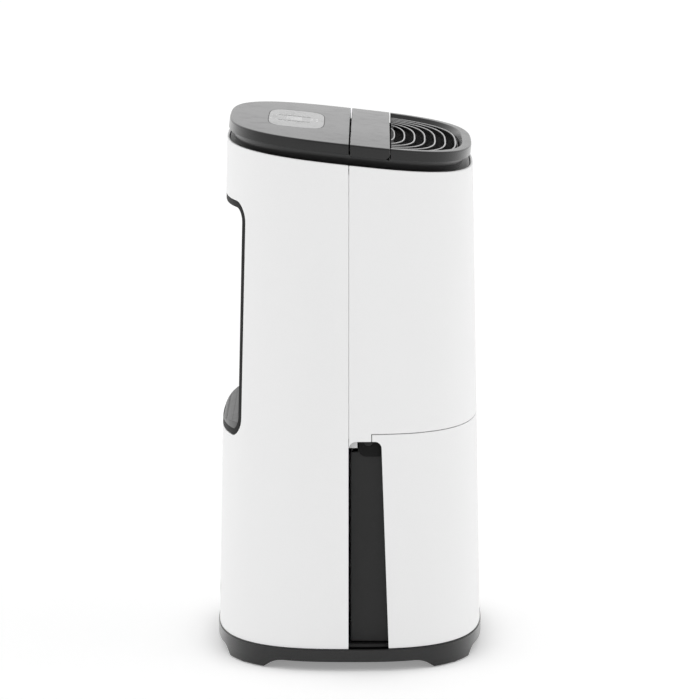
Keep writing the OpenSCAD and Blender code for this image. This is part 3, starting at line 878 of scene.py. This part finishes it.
@dataclass
class Base:
    """The black skirt, its rubber feet and its screws."""

    plans: Plans
    floor: float = 0.8
    wall: float = 4.5
    arch_h: float = 8.5
    arch_x: float = 76.0
    arch_y: float = 100.0
    foot_at: Point = (116.0, 89.0)
    socket_r: float = 8.3
    socket_z: float = 2.4
    deck: float = 12.0

    def arch(self, half: float, axis: Axis) -> Solid:
        """The opening between two feet.

        Args:
            half: half its width.
            axis: the direction it runs.

        Returns:
            The cutter.
        """
        side = [(half + 6, -3.0), (half + 1.0, 0.4), (half - 9, self.arch_h - 0.8),
                (half - 17, self.arch_h)]
        corners = [(-u, v) for u, v in side] + [(u, v) for u, v in reversed(side)]
        rounds = {1: 1.8, 2: 5.0, 5: 5.0, 6: 1.8}
        return Solid.prism(corners, -FAR, FAR, axis, rounds)

    def build(self) -> None:
        """Makes the skirt and dresses the feet and screws."""
        skirt = Solid.lump(self.plans.skirt, [(0, self.floor), (0, self.plans.skirt_h)])
        skirt.cut(Solid.lump(self.plans.skirt, [(self.wall, self.deck), (self.wall, 40)]),
                  self.arch(self.arch_x, Axis.X), self.arch(self.arch_y, Axis.Y))
        for x in (-self.foot_at[0], self.foot_at[0]):
            for y in (-self.foot_at[1], self.foot_at[1]):
                skirt.cut(Solid.rod((x, y, -5), self.socket_z + 5, self.socket_r))
        skirt.soften(0.9, 3)
        skirt.finish("skirt", Stuff.BLACK, "cabinet", ["base_skirt"])
        dress("foot_pads", Stuff.RUBBER, 0.5)
        dress("base_screws", Stuff.STEEL, 0.2)


@dataclass
class Casing:
    """The white upper casing in two halves, and the frame inside it."""

    plans: Plans
    wall: float = 2.5
    half_seam: float = 0.25
    window: Point = (224.0, 212.0)
    window_z: float = 308.5
    window_r: float = 18.0
    grip_top: float = 207.3
    grip_r: float = 6.0
    step_y: float = -20.0
    step_z: float = 214.1
    drain: Size = (40.0, 178.0, 16.3)
    cord: Size = (-40.0, 52.0, 7.2)
    tongue: Point = (1.1, 2.4)

    def hole(self, x: float, z: float, radius: float) -> Solid:
        """A round hole through the back."""
        return Solid.rod((x, 60, z), 100, radius, Axis.Y)

    def tube(self, low: float, high: float) -> Solid:
        """The casing's wall between two heights."""
        return Solid.ring(self.plans.casing, [(0, low), (0, high), (self.wall, high), (self.wall, low)])

    def build(self) -> None:
        """Makes both halves and dresses the inner frame."""
        skirt_top = self.plans.skirt_h + self.half_seam
        rear = self.tube(skirt_top, 480)
        rear.cut(self.plans.above(self.plans.rim_z))
        rear.meet(Solid.block((-FAR, self.half_seam, 0), (FAR, FAR, 600)))
        rear.cut(Solid.pad((0, self.window_z), self.window, self.window_r, 60, FAR, Axis.Y),
                 self.hole(*self.drain), self.hole(*self.cord))
        self.round_edges(rear)
        outer, inner = self.tongue
        tongue = Solid.ring(self.plans.casing, [(outer, 30), (outer, 445), (inner, 445), (inner, 30)])
        tongue.meet(Solid.block((-FAR, -self.half_seam, 210), (FAR, 2.0, 600)))
        tongue.cut(self.plans.above(self.plans.rim_z - 5))
        rear.gather(tongue)
        rear.finish("rear_casing", Stuff.WHITE, "cabinet", ["rear_shell"])

        front = self.tube(self.grip_top - self.grip_r, 480)
        front.cut(self.plans.above(self.plans.rim_z))
        front.meet(Solid.block((-FAR, -FAR, 0), (FAR, -self.half_seam, 600)))
        front.cut(Solid.block((-FAR, -FAR, 0), (FAR, self.step_y, self.step_z)),
                  Solid.prism([(-self.half_seam - 0.05, 100), (-self.half_seam - 0.05, self.grip_top),
                               (-60, self.grip_top), (-60, 100)], -FAR, FAR, Axis.X, {1: self.grip_r}))
        self.round_edges(front)
        front.finish("front_casing", Stuff.WHITE, "cabinet", ["front_shell"])
        # The inner frame's finish carries painted shade: black below 26 mm.
        dress("inner_frame", Stuff.BAY_PAINTED_SHADE, 0.3)

    def round_edges(self, solid: Solid) -> None:
        """Rounds the lip fully, and the seams a little.

        Args:
            solid: one half of the casing.
        """
        slope = math.tan(math.radians(self.plans.slope))
        solid.soften(1.0, 3, where=lambda p: p.z > self.plans.rim_z - 1.5 + p.y * slope)
        solid.soften(0.35, 2, where=lambda p: 209 < p.z < self.plans.rim_z - 4 + p.y * slope
                     or p.y > 1 and p.z < 200)


@dataclass
class Cap:
    """The black cap: neck, touch panel, outlet ring and grille."""

    plans: Plans
    rear_edge: float = 0.2
    front_edge: float = -36.8
    window_y: float = 49.9
    window: Point = (130.4, 50.4)
    window_power: float = 4.2
    window_gap: float = 0.3
    wall: float = 2.5
    blades: int = 7
    blade_pitch: float = 9.3
    blade_in: float = 13.4
    rib_pitch: float = 8.0

    def pane(self, grow: float, low: float) -> Solid:
        """The touch window's outline as a solid.

        Args:
            grow: how far outside the window's edge.
            low: height of its underside above the rim's foot.

        Returns:
            The solid, through the top of the cap.
        """
        plan = Form(self.window[0] / 2 + grow, self.window[1] / 2 + grow, self.window_power)
        pane = Solid.lump(plan, [(0, low), (0, self.plans.rim_h + 20)])
        return self.local(pane.turn(Matrix.Translation((0, self.window_y, 0))))

    def local(self, solid: Solid) -> Solid:
        """Carries a solid from the cap's own frame to the part's."""
        return solid.turn(self.plans.cap.place())

    def build(self) -> None:
        """Makes every part of the cap."""
        self.neck()
        self.panel()
        self.marks()
        self.outlet()
        self.grille()
        dress("display_board", Stuff.BOARD, 0.2)
        dress("handle_well", Stuff.BLACK, 0.3)
        dress("handle_guides", Stuff.GREY, 0.3)

    def neck(self) -> None:
        """The bowl under the rim, and its flange in the casing's mouth."""
        skin = [(4.0, -0.3), (4.7, -3.5), (6.0, -7.5), (8.2, -12.0), (12.0, -16.0)]
        bowl = Solid.ring(self.plans.cap, skin + [(i + self.wall, z) for i, z in reversed(skin)])
        flange = Solid.ring(self.plans.cap, [(-3.5, -12.3), (-3.5, -9.8), (8.6, -9.8), (10.1, -12.3)])
        flange.meet(Solid.lump(self.plans.casing, [(3.0, 380), (3.0, 500)]))
        bowl.join(flange).soften(0.4, 2, angle=BEND)
        # The neck's colour is painted lighter than the other black trim, as painted light.
        bowl.finish("neck", Stuff.NECK_PAINTED_LIGHT, "cabinet", ["neck_ring"])

    def panel(self) -> None:
        """The rear of the cap, with the touch window let into it."""
        top = self.plans.rim_h
        panel = self.plans.crowned(0.0).meet(self.plans.slab(self.rear_edge, FAR))
        panel.cut(Solid.lump(self.plans.cap, [(self.wall, -3), (self.wall, top - self.wall)])
                  .meet(self.plans.slab(self.rear_edge + self.wall, FAR)))
        panel.cut(self.pane(self.window_gap, top - 1.4))
        panel.soften(0.45, 2)
        panel.finish("touch_panel", Stuff.BLACK, "cabinet", ["control_panel"])
        glass = self.plans.crowned(0.0)
        glass.meet(self.pane(0.0, top - 1.3))
        glass.soften(0.2, 2)
        glass.finish("window", Stuff.GLOSS, "cabinet", ["touch_window"])

    def lift(self, x: float, y: float) -> float:
        """Height of the crowned top over a place on the cap.

        Args:
            x: the place's distance across.
            y: its distance to the rear.

        Returns:
            The height above the rim's foot.
        """
        power = self.plans.cap_squareness
        a, b = self.plans.cap_w / 2, self.plans.cap_d / 2
        low, high = 0.0, b - 2
        for _ in range(HALVINGS):
            mid = (low + high) / 2
            inside = (abs(x) / (a - mid)) ** power + (abs(y) / (b - mid)) ** power < 1
            low, high = (mid, high) if inside else (low, mid)
        return self.plans.rise(low)

    def marks(self) -> None:
        """Plain bars, arcs and dots printed on the touch window."""
        pale, dark = Solid(), Solid()
        y0 = self.window_y

        def dab(sheet: Solid, x: float, y: float, w: float, d: float, r: float) -> None:
            """Lays one printed shape down.

            Args:
                sheet: the print it belongs to.
                x: its middle across the cap.
                y: its middle to the rear.
                w: its width.
                d: its depth.
                r: radius of its corners.
            """
            h = self.lift(x, y)
            sheet.gather(self.local(Solid.pad((x, y), (w, d), r, h - 0.12, h + 0.06)))

        for x, w in ((-9.0, 5.0), (0.0, 6.0), (9.0, 5.0)):
            dab(pale, x, y0 + 1.5, w, 15.0, 1.2)
        for side in (-1, 1):
            for k in range(-3, 4):
                dab(dark, side * (21.0 - abs(k) * 0.9), y0 + 2 + k * 4.2, 2.6, 3.6, 1.0)
                dab(pale, side * (29.0 - abs(k) * 1.3), y0 + 2 + k * 5.0, 1.8, 3.0, 0.8)
            for k in range(3):
                dab(pale, side * 15.0, y0 + 17.0 - k * 4.2 + 6, 3.0, 1.6, 0.7)
            dab(pale, side * 6.0, y0 - 14.0, 7.0, 2.0, 0.9)
            dab(pale, side * 6.0, y0 - 18.5, 7.0, 1.6, 0.7)
        pale.finish("display_marks", Stuff.PRINT, "cabinet")
        dark.finish("display_arcs", Stuff.SMOKE, "cabinet")

    def outlet(self) -> None:
        """The front of the rim, with the sloping sides of the outlet's bowl."""
        top = self.plans.rim_h
        ring = Solid.ring(self.plans.cap, [
            (0, 0), *self.plans.edge(), (7.6, top), (8.3, top - 0.25), (8.8, top - 1), (11.2, 3.2),
            (11.8, 2.3), (13, 2), (13, -2), (15, -2), (15, -2.8), (8.1, -2.8), (8.1, 0)])
        ring.meet(self.plans.slab(-FAR, self.front_edge))
        ring.soften(0.3, 2)
        ring.finish("outlet_rim", Stuff.BLACK, "cabinet", ["outlet_ring"])

    def mouth(self) -> Solid:
        """The space inside the outlet's bowl."""
        return Solid.lump(self.plans.cap, [(13.6, -4), (13.6, 8)])

    def grille(self) -> None:
        """Concentric blades with light grey tops that are a painted highlight, over straight ribs."""
        edge = self.front_edge - 0.6
        blades, tips = Solid(), Solid()
        for number in range(self.blades):
            i = self.blade_in + number * self.blade_pitch
            for sheet, profile in (
                    (blades, [(i, -2), (i, 5.0), (i + 1.8, 5.0), (i + 1.8, -2)]),
                    (tips, [(i + 0.3, 4.6), (i + 0.3, 5.4), (i + 0.55, 5.65), (i + 1.25, 5.65),
                            (i + 1.5, 5.4), (i + 1.5, 4.6)])):
                sheet.gather(Solid.ring(self.plans.cap, profile, 128).meet(self.plans.slab(-FAR, edge)))
        ribs = Solid()
        count = int(120 / self.rib_pitch)
        for k in range(-count, count + 1):
            x = k * self.rib_pitch
            ribs.gather(self.local(Solid.block((x - 0.6, -120, -2), (x + 0.6, 0, 2.6))))
        ribs.meet(self.mouth(), self.plans.slab(-FAR, edge))
        bar = self.local(Solid.block((-130, self.front_edge - 5, -2), (130, self.front_edge + 10, 5.2)))
        bar.meet(self.mouth(), self.plans.slab(self.front_edge - 2.6, edge))
        blades.gather(ribs, bar)
        blades.finish("grille", Stuff.SHADE, "cabinet", ["outlet_grille"])
        # The blade tips carry a painted highlight in light grey.
        tips.finish("blade_tips_painted_highlight", Stuff.BLADE_GLINT, "cabinet")


@dataclass
class CarryHandle:
    """The strap across the cap, on two legs that slide in guides."""

    plans: Plans
    front: float = -36.0
    back: float = -1.0
    drop: float = 1.5
    leg_x: Point = (118.0, 126.0)
    leg_y: Point = (-31.0, -7.0)
    leg_foot: float = 385.0

    def build(self) -> None:
        """Makes the strap with its arms and legs."""
        z = self.plans.cap_z
        strap = self.plans.crowned(-self.drop)
        strap.meet(self.plans.slab(self.front, self.back))
        strap.cut(Solid.lump(self.plans.cap, [(3.2, -12), (3.2, 4.0), (3.9, 4.5)]),
                  Solid.prism([(self.front - 3, z - 0.2), (self.front + 6, z - 6.5),
                               (self.front + 6, z - 14), (self.front - 3, z - 14)], -FAR, FAR, Axis.X))
        strap.soften(0.5, 3)
        leg = Solid.block((self.leg_x[0], self.leg_y[0], self.leg_foot),
                          (self.leg_x[1], self.leg_y[1], z + 4.5)).soften(1.2, 2)
        strap.gather(leg.mirrored())
        strap.finish("carry_strap", Stuff.BLACK, "handle", ["carry_handle"])


@dataclass
class Intake:
    """The rear window's frame with its swelling foot, the slotted cover and the dust net."""

    plans: Plans
    low: float = 202.5
    high: float = 414.5
    width: float = 224.0
    radius: float = 18.0
    lip: float = 6.0
    plane: float = 95.0
    swell: Point = (17.0, 13.0)
    cover_low: float = 217.1
    cover_high: float = 407.5
    cover_w: float = 211.0
    slot_pitch: float = 10.6
    slot_w: float = 7.0
    net_pitch: float = 2.0
    net_w: float = 196.0
    thread: float = 0.2

    def opening(self, inset: float, start: float) -> Solid:
        """The window's outline as a solid.

        Args:
            inset: how far inside the window's edge.
            start: the plane that it starts at; it goes on to the back.

        Returns:
            The solid.
        """
        size = (self.width - 2 * inset, self.high - self.low - 2 * inset)
        return Solid.pad((0, (self.low + self.high) / 2), size, self.radius - inset, start, FAR, Axis.Y)

    def tilted(self, solid: Solid) -> Solid:
        """Leans a solid inwards with the casing, about the cover's lower edge.

        Args:
            solid: a solid drawn against the upright plane.

        Returns:
            The same solid.
        """
        hinge = Matrix.Translation((0, self.plane, self.cover_low))
        lean = Matrix.Rotation(math.radians(self.plans.lean_angle), 4, "X")
        return solid.turn(hinge @ lean @ hinge.inverted())

    def build(self) -> None:
        """Makes the frame, the cover and the net."""
        lip = self.opening(0.3, self.plane - 8).cut(self.opening(self.lip, 0))
        lip.meet(Solid.lump(self.plans.casing, [(0.2, 180), (0.2, 430)]))
        lip.soften(0.6, 2)
        lip.finish("intake_bezel", Stuff.SHADE, "cabinet", ["intake_frame"])
        arc = Solid.rod((-FAR, 0, 0), 2 * FAR, 1.0, Axis.X, segments=96)
        arc.turn(Matrix.Translation((0, self.plane + 5, self.low))
                 @ Matrix.Diagonal((1, self.swell[0], self.swell[1], 1)))
        swell = Solid.block((-FAR, self.plane - 6, self.low - 1),
                            (FAR, self.plane + 5.02, self.low + self.swell[1] - 0.1))
        swell.join(arc)
        swell.meet(self.opening(self.lip - 0.05, self.plane - 8),
                   Solid.lump(self.plans.casing, [(0.25, 180), (0.25, 430)]))
        swell.soften(0.4, 2, angle=BEND)
        swell.finish("intake_swell", Stuff.SWELL, "cabinet")
        middle = (self.cover_low + self.cover_high) / 2
        tall = self.cover_high - self.cover_low
        cover = Solid.pad((0, middle), (self.cover_w, tall), 10, self.plane - 3, self.plane, Axis.Y)
        slots = Solid()
        for k in range(-9, 10):
            slots.gather(Solid.pad((k * self.slot_pitch, middle), (self.slot_w, tall - 24), 3.4, 0, FAR,
                                   Axis.Y))
        cover.cut(slots).soften(0.5, 2)
        self.tilted(cover).finish("slotted_cover", Stuff.BLACK, "filter", ["filter_cover"])
        front, back = self.plane - 6.4, self.plane - 3.5
        rim = Solid.pad((0, middle), (self.cover_w - 3, tall - 3), 9, front, back, Axis.Y)
        rim.cut(Solid.pad((0, middle), (self.cover_w - 18, tall - 18), 4, 0, FAR, Axis.Y))
        for x in (-40, 40):
            rim.join(Solid.block((x - 1.5, front, self.cover_low + 5), (x + 1.5, back, self.cover_high - 5)))
        rim.soften(0.3, 2)
        self.tilted(rim).finish("filter_rim", Stuff.NET, "filter", ["dust_filter"])
        self.net(middle, tall / 2 - 6)

    def net(self, middle: float, half: float) -> None:
        """The woven net in the filter's rim.

        Args:
            middle: the height of its middle.
            half: half its height.
        """
        net = Solid()
        for k in range(-47, 48):
            x = k * self.net_pitch
            net.gather(Solid.block((x - self.thread, self.plane - 4.3, middle - half),
                                   (x + self.thread, self.plane - 4.0, middle + half)))
        rows = int(half / self.net_pitch)
        for k in range(-rows, rows + 1):
            z = middle + k * self.net_pitch
            net.gather(Solid.block((-self.net_w / 2, self.plane - 4.5, z - self.thread),
                                   (self.net_w / 2, self.plane - 4.2, z + self.thread)))
        self.tilted(net).finish("filter_net", Stuff.NET, "filter")


@dataclass
class Tank:
    """The pull-out water tank with its white cover."""

    plans: Plans
    side: float = 145.0
    rim: float = 200.5
    back: float = -1.6
    wall: float = 2.5
    foot: float = field(init=False)
    seam: float = 213.5
    grip_top: float = 207.3
    grip_r: float = 6.0
    grip_y: Point = (-28.8, -35.5)
    tab_y: float = -20.6
    inset: float = 6.5
    floor: float = 24.0
    ear: Point = (3.0, 4.0)

    def __post_init__(self) -> None:
        """Sets the cover's lower edge a seam above the skirt."""
        self.foot = self.plans.skirt_h + 0.6

    def build(self) -> None:
        """Makes the tank and its cover, and dresses what rides with them."""
        self.make_cover()
        self.make_tank()
        for node in ("tank_lid", "float_bracket", "handle_pivots"):
            dress(node, Stuff.DARK, 0.3)
        dress("tank_float", Stuff.FOAM, 0.6)
        dress("float_magnet", Stuff.STEEL, 0.2)

    def make_cover(self) -> None:
        """The white cover, with its turned-in edges at the hand grips."""
        slant = (self.grip_y[0] - self.grip_y[1]) / (self.grip_top - 7 - self.foot)
        foot_y = self.grip_y[1] - slant * (self.foot + 10)
        cover = Solid.ring(self.plans.casing, [(0, self.foot), (0, self.seam), (self.wall, self.seam),
                                               (self.wall, self.foot)])
        cover.meet(Solid.block((-FAR, -FAR, 0), (FAR, self.tab_y, 300)))
        cover.cut(Solid.prism([(20, -10), (20, self.grip_top), (self.grip_y[0], self.grip_top),
                               (foot_y, -10)], -FAR, FAR, Axis.X, {2: self.grip_r}))
        cover.soften(0.35, 2, where=lambda p: p.z > 208 or p.z < 22 or p.y < -25)
        edge = Solid.prism([(self.grip_y[1] + 0.1, 24.2), (self.grip_y[0] - 0.6, 190),
                            (self.grip_y[0] - 3.0, 190), (self.grip_y[1] - 2.3, 24.2)],
                           self.side + 0.1, 200, Axis.X).mirrored()
        edge.meet(Solid.lump(self.plans.casing, [(self.wall + 0.02, 21), (self.wall + 0.02, 200)]))
        cover.gather(edge)
        cover.finish("front_cover", Stuff.WHITE, "tank", ["tank_cover"])

    def vessel(self, inset: float, top: float) -> Solid:
        """The tank's form, inset all round.

        Args:
            inset: how far inside the tank's outer face.
            top: the height it ends at.

        Returns:
            The form.
        """
        drawn, half = self.inset + inset, self.side - inset
        form = Solid.lump(self.plans.casing, [(drawn, self.floor + inset), (drawn, top)])
        return form.meet(Solid.block((-half, -FAR, 0), (half, self.back - inset, FAR)))

    def make_tank(self) -> None:
        """The dark tank, open at the top, with a notch at each rear corner."""
        outer = self.vessel(0.0, self.rim)
        outer.cut(self.vessel(self.wall, self.rim + 20))
        wide, tall = self.ear
        outer.cut(Solid.block((-FAR, -7.8, self.rim - tall), (wide - self.side, 10, self.rim + 10)),
                  Solid.block((self.side - wide, -7.8, self.rim - tall), (FAR, 10, self.rim + 10)))
        outer.soften(0.8, 3)
        outer.finish("tank_body", Stuff.DARK, "tank", ["water_tank"])


@dataclass
class TankHandle:
    """The tank's swing handle: two plates on pivots, two arms and a bar."""

    plans: Plans
    pivot: Point = (-17.3, 206.0)
    side: Point = (145.4, 148.2)
    reach: float = 38.0
    low: float = -1.6
    high: float = 5.0
    bar_d: float = 8.0
    bore: float = 4.0

    def build(self) -> None:
        """Makes the handle."""
        y, z = self.pivot
        inner, outer = self.side
        front = y - self.reach
        plate = Solid.prism([(y - 10.6, z - 13.4), (y + 8.8, z - 13.4), (y + 8.8, z + 6), (y - 10.6, z + 6)],
                            inner, outer, Axis.X, {1: 7.0})
        plate.cut(Solid.rod((100, y, z), 100, self.bore, Axis.X))
        arm = Solid.block((inner, front, z + self.low), (outer, y - self.bar_d, z + self.high))
        bar = Solid.block((-outer, front, z + self.low), (outer, front + self.bar_d, z + self.high))
        limbs = plate.join(arm).mirrored().join(bar)
        limbs.meet(Solid.lump(self.plans.casing, [(4.2, 180), (4.2, 230)])).soften(0.5, 2)
        boss = Solid.turned([(4.05, 0), (4.05, 0.4), (4.3, 0.62), (5.1, 0.62), (5.4, 0.4), (5.4, 0)],
                            (outer - 0.1, y, z), Axis.X)
        boss.meet(Solid.block((100, y - 20, z - 20), (200, y + 20, z + 5.9)))
        limbs.gather(boss.mirrored())
        limbs.finish("tank_bail", Stuff.SHADE, "bail", ["tank_handle"])


@dataclass
class Blower:
    """The fan, its scroll and its motor."""

    def build(self) -> None:
        """Dresses the blower's parts."""
        for node in ("fan_housing", "outlet_duct"):
            dress(node, Stuff.GREY, 0.3)
        dress("fan_impeller", Stuff.GREY, 0.15)
        dress("fan_motor", Stuff.STEEL, 0.8)
        dress("motor_screws", Stuff.STEEL, 0.2)
        dress("fan_shaft", Stuff.STEEL, 0.3)


@dataclass
class Cooling:
    """The compressor, the two finned coils and their pipes."""

    half_w: float = 98.0
    low: float = 222.0
    high: float = 398.0
    pitch: float = 2.0
    rows: int = 8
    tube_r: float = 3.2
    plate: float = 1.0

    def coil(self, name: str, node: str, front: float, back: float) -> None:
        """A coil of thin fins between end plates, with tubes and return bends.

        Args:
            name: the piece's name.
            node: the CAD node it stands for.
            front: its front face.
            back: its back face.
        """
        fins = Solid()
        count = int(self.half_w / self.pitch)
        for k in range(-count, count + 1):
            x = k * self.pitch
            fins.gather(Solid.block((x - 0.12, front + 1, self.low + 2), (x + 0.12, back - 1, self.high - 2)))
        for side in (-1, 1):
            x = side * (self.half_w + 0.5)
            fins.gather(Solid.block((x - self.plate, front, self.low), (x + self.plate, back, self.high)))
        fins.finish(name + "_fins", Stuff.ALU, "cabinet", [node])
        step = (self.high - self.low) / self.rows
        middle = (front + back) / 2
        tubes = Solid()
        for k in range(self.rows):
            tubes.gather(Solid.rod((-self.half_w - 1, middle, self.low + (k + 0.5) * step),
                                   2 * self.half_w + 2, self.tube_r, Axis.X, segments=16))
        for k in range(0, self.rows - 1, 2):
            place = Matrix.Translation((self.half_w + 1, middle, self.low + (k + 1) * step))
            tubes.gather(self.bend(step / 2).turn(place).mirrored())
        tubes.finish(name + "_tubes", Stuff.COPPER, "cabinet")

    def bend(self, radius: float) -> Solid:
        """A return bend: half a ring of tube, standing out along +X.

        Args:
            radius: of the ring's middle line.

        Returns:
            The bend.
        """
        bend = bmesh.new()
        bmesh.ops.create_circle(bend, segments=16, radius=self.tube_r)
        bmesh.ops.translate(bend, verts=bend.verts[:], vec=(radius, 0, 0))
        bmesh.ops.spin(bend, geom=bend.verts[:] + bend.edges[:], cent=(0, 0, 0), axis=(0, 1, 0),
                       angle=math.pi, steps=12)
        bmesh.ops.recalc_face_normals(bend, faces=bend.faces[:])
        return Solid(bend).turn(Matrix(((0, 0, -1, 0), (0, 1, 0, 0), (1, 0, 0, 0), (0, 0, 0, 1))))

    def build(self) -> None:
        """Makes the coils and dresses the rest of the circuit."""
        self.coil("evaporator", "evaporator_coil", 66, 84)
        self.coil("condenser", "condenser_coil", 42, 60)
        for node in ("compressor", "compressor_base", "accumulator"):
            dress(node, Stuff.CAN, 0.4)
        dress("compressor_mounts", Stuff.RUBBER, 0.3)
        dress("compressor_nuts", Stuff.STEEL, 0.2)
        dress("refrigerant_pipes", Stuff.COPPER, 0)
        for node in ("coil_shroud", "drip_tray", "drip_spout"):
            dress(node, Stuff.GREY, 0.3)


@dataclass
class Fittings:
    """The electrics and the drain."""

    def build(self) -> None:
        """Dresses them."""
        dress("run_capacitor", Stuff.GREY, 0.8)
        dress("main_board", Stuff.BOARD, 0.2)
        dress("humidity_sensor", Stuff.WHITE, 0.4)
        dress("tank_switch", Stuff.DARK, 0.4)
        dress("cord_gland", Stuff.RUBBER, 0.4)
        dress("drain_port", Stuff.BLACK, 0.3)
        dress("drain_bung", Stuff.RUBBER, 0.4)


@dataclass
class Studio:
    """The pale floor, the soft surround and the camera."""

    distance: float = 4.215
    height: float = 0.954
    aim: float = 0.2643
    side: float = 0.4
    lens: float = 239.7
    floor_size: float = 40.0
    floor_glow: float = 0.26
    light: float = 1.1
    patch_light: float = 0.55
    patch: Point = (0.8, 0.98)

    def build(self) -> None:
        """Makes the stage."""
        bpy.context.scene.view_settings.view_transform = "Standard"
        self.floor()
        self.surround()
        self.camera()

    def floor(self) -> None:
        """A wide pale floor."""
        bm = bmesh.new()
        bmesh.ops.create_grid(bm, x_segments=1, y_segments=1, size=self.floor_size)
        mesh = bpy.data.meshes.new("studio_floor")
        bm.to_mesh(mesh)
        bm.free()
        floor = bpy.data.objects.new("studio_floor", mesh)
        bpy.context.scene.collection.objects.link(floor)
        bench = Bench("studio_paper")
        bench.set(Base_Color=grey(0.9), Roughness=0.9, Emission_Color=grey(1.0),
                  Emission_Strength=self.floor_glow, Specular_IOR_Level=0.0)
        mesh.materials.append(bench.material)

    def surround(self) -> None:
        """A white surround, with a darker patch behind the camera."""
        world = bpy.data.worlds.new("studio_surround")
        bpy.context.scene.world = world
        world.use_nodes = True
        tree = world.node_tree
        tree.nodes.clear()
        out = tree.nodes.new("ShaderNodeOutputWorld")
        light = tree.nodes.new("ShaderNodeBackground")
        place = tree.nodes.new("ShaderNodeTexCoord")
        facing = tree.nodes.new("ShaderNodeVectorMath")
        facing.operation = "DOT_PRODUCT"
        facing.inputs[1].default_value = Vector((-1.0, 0.0, 0.1)).normalized()
        shade = tree.nodes.new("ShaderNodeMapRange")
        shade.interpolation_type = "SMOOTHSTEP"
        for key, value in (("From Min", self.patch[0]), ("From Max", self.patch[1]),
                           ("To Min", self.light), ("To Max", self.patch_light)):
            shade.inputs[key].default_value = value
        tree.links.new(place.outputs["Generated"], facing.inputs[0])
        tree.links.new(facing.outputs["Value"], shade.inputs["Value"])
        tree.links.new(shade.outputs["Result"], light.inputs["Strength"])
        tree.links.new(light.outputs[0], out.inputs["Surface"])

    def camera(self) -> None:
        """The camera, level across, aimed down at the machine."""
        data = bpy.data.cameras.new("studio_camera")
        data.lens, data.sensor_width = self.lens, 36.0
        data.clip_end = 100.0
        camera = bpy.data.objects.new("studio_camera", data)
        turn = math.radians(self.side)
        camera.location = (-self.distance * math.cos(turn), -self.distance * math.sin(turn), self.height)
        look = Vector((0, 0, self.aim)) - camera.location
        camera.rotation_euler = look.to_track_quat("-Z", "Y").to_euler()
        bpy.context.scene.collection.objects.link(camera)
        bpy.context.scene.camera = camera


def main() -> None:
    """Builds the machine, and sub-assembly by sub-assembly."""
    logging.basicConfig(level=logging.INFO, format="%(name)s: %(message)s")
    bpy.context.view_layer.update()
    plans = Plans()
    for assembly in (Base(plans), Casing(plans), Cap(plans), CarryHandle(plans), Intake(plans),
                     Tank(plans), TankHandle(plans), Blower(), Cooling(), Fittings(), Studio()):
        assembly.build()


if __name__ == "__main__":
    main()
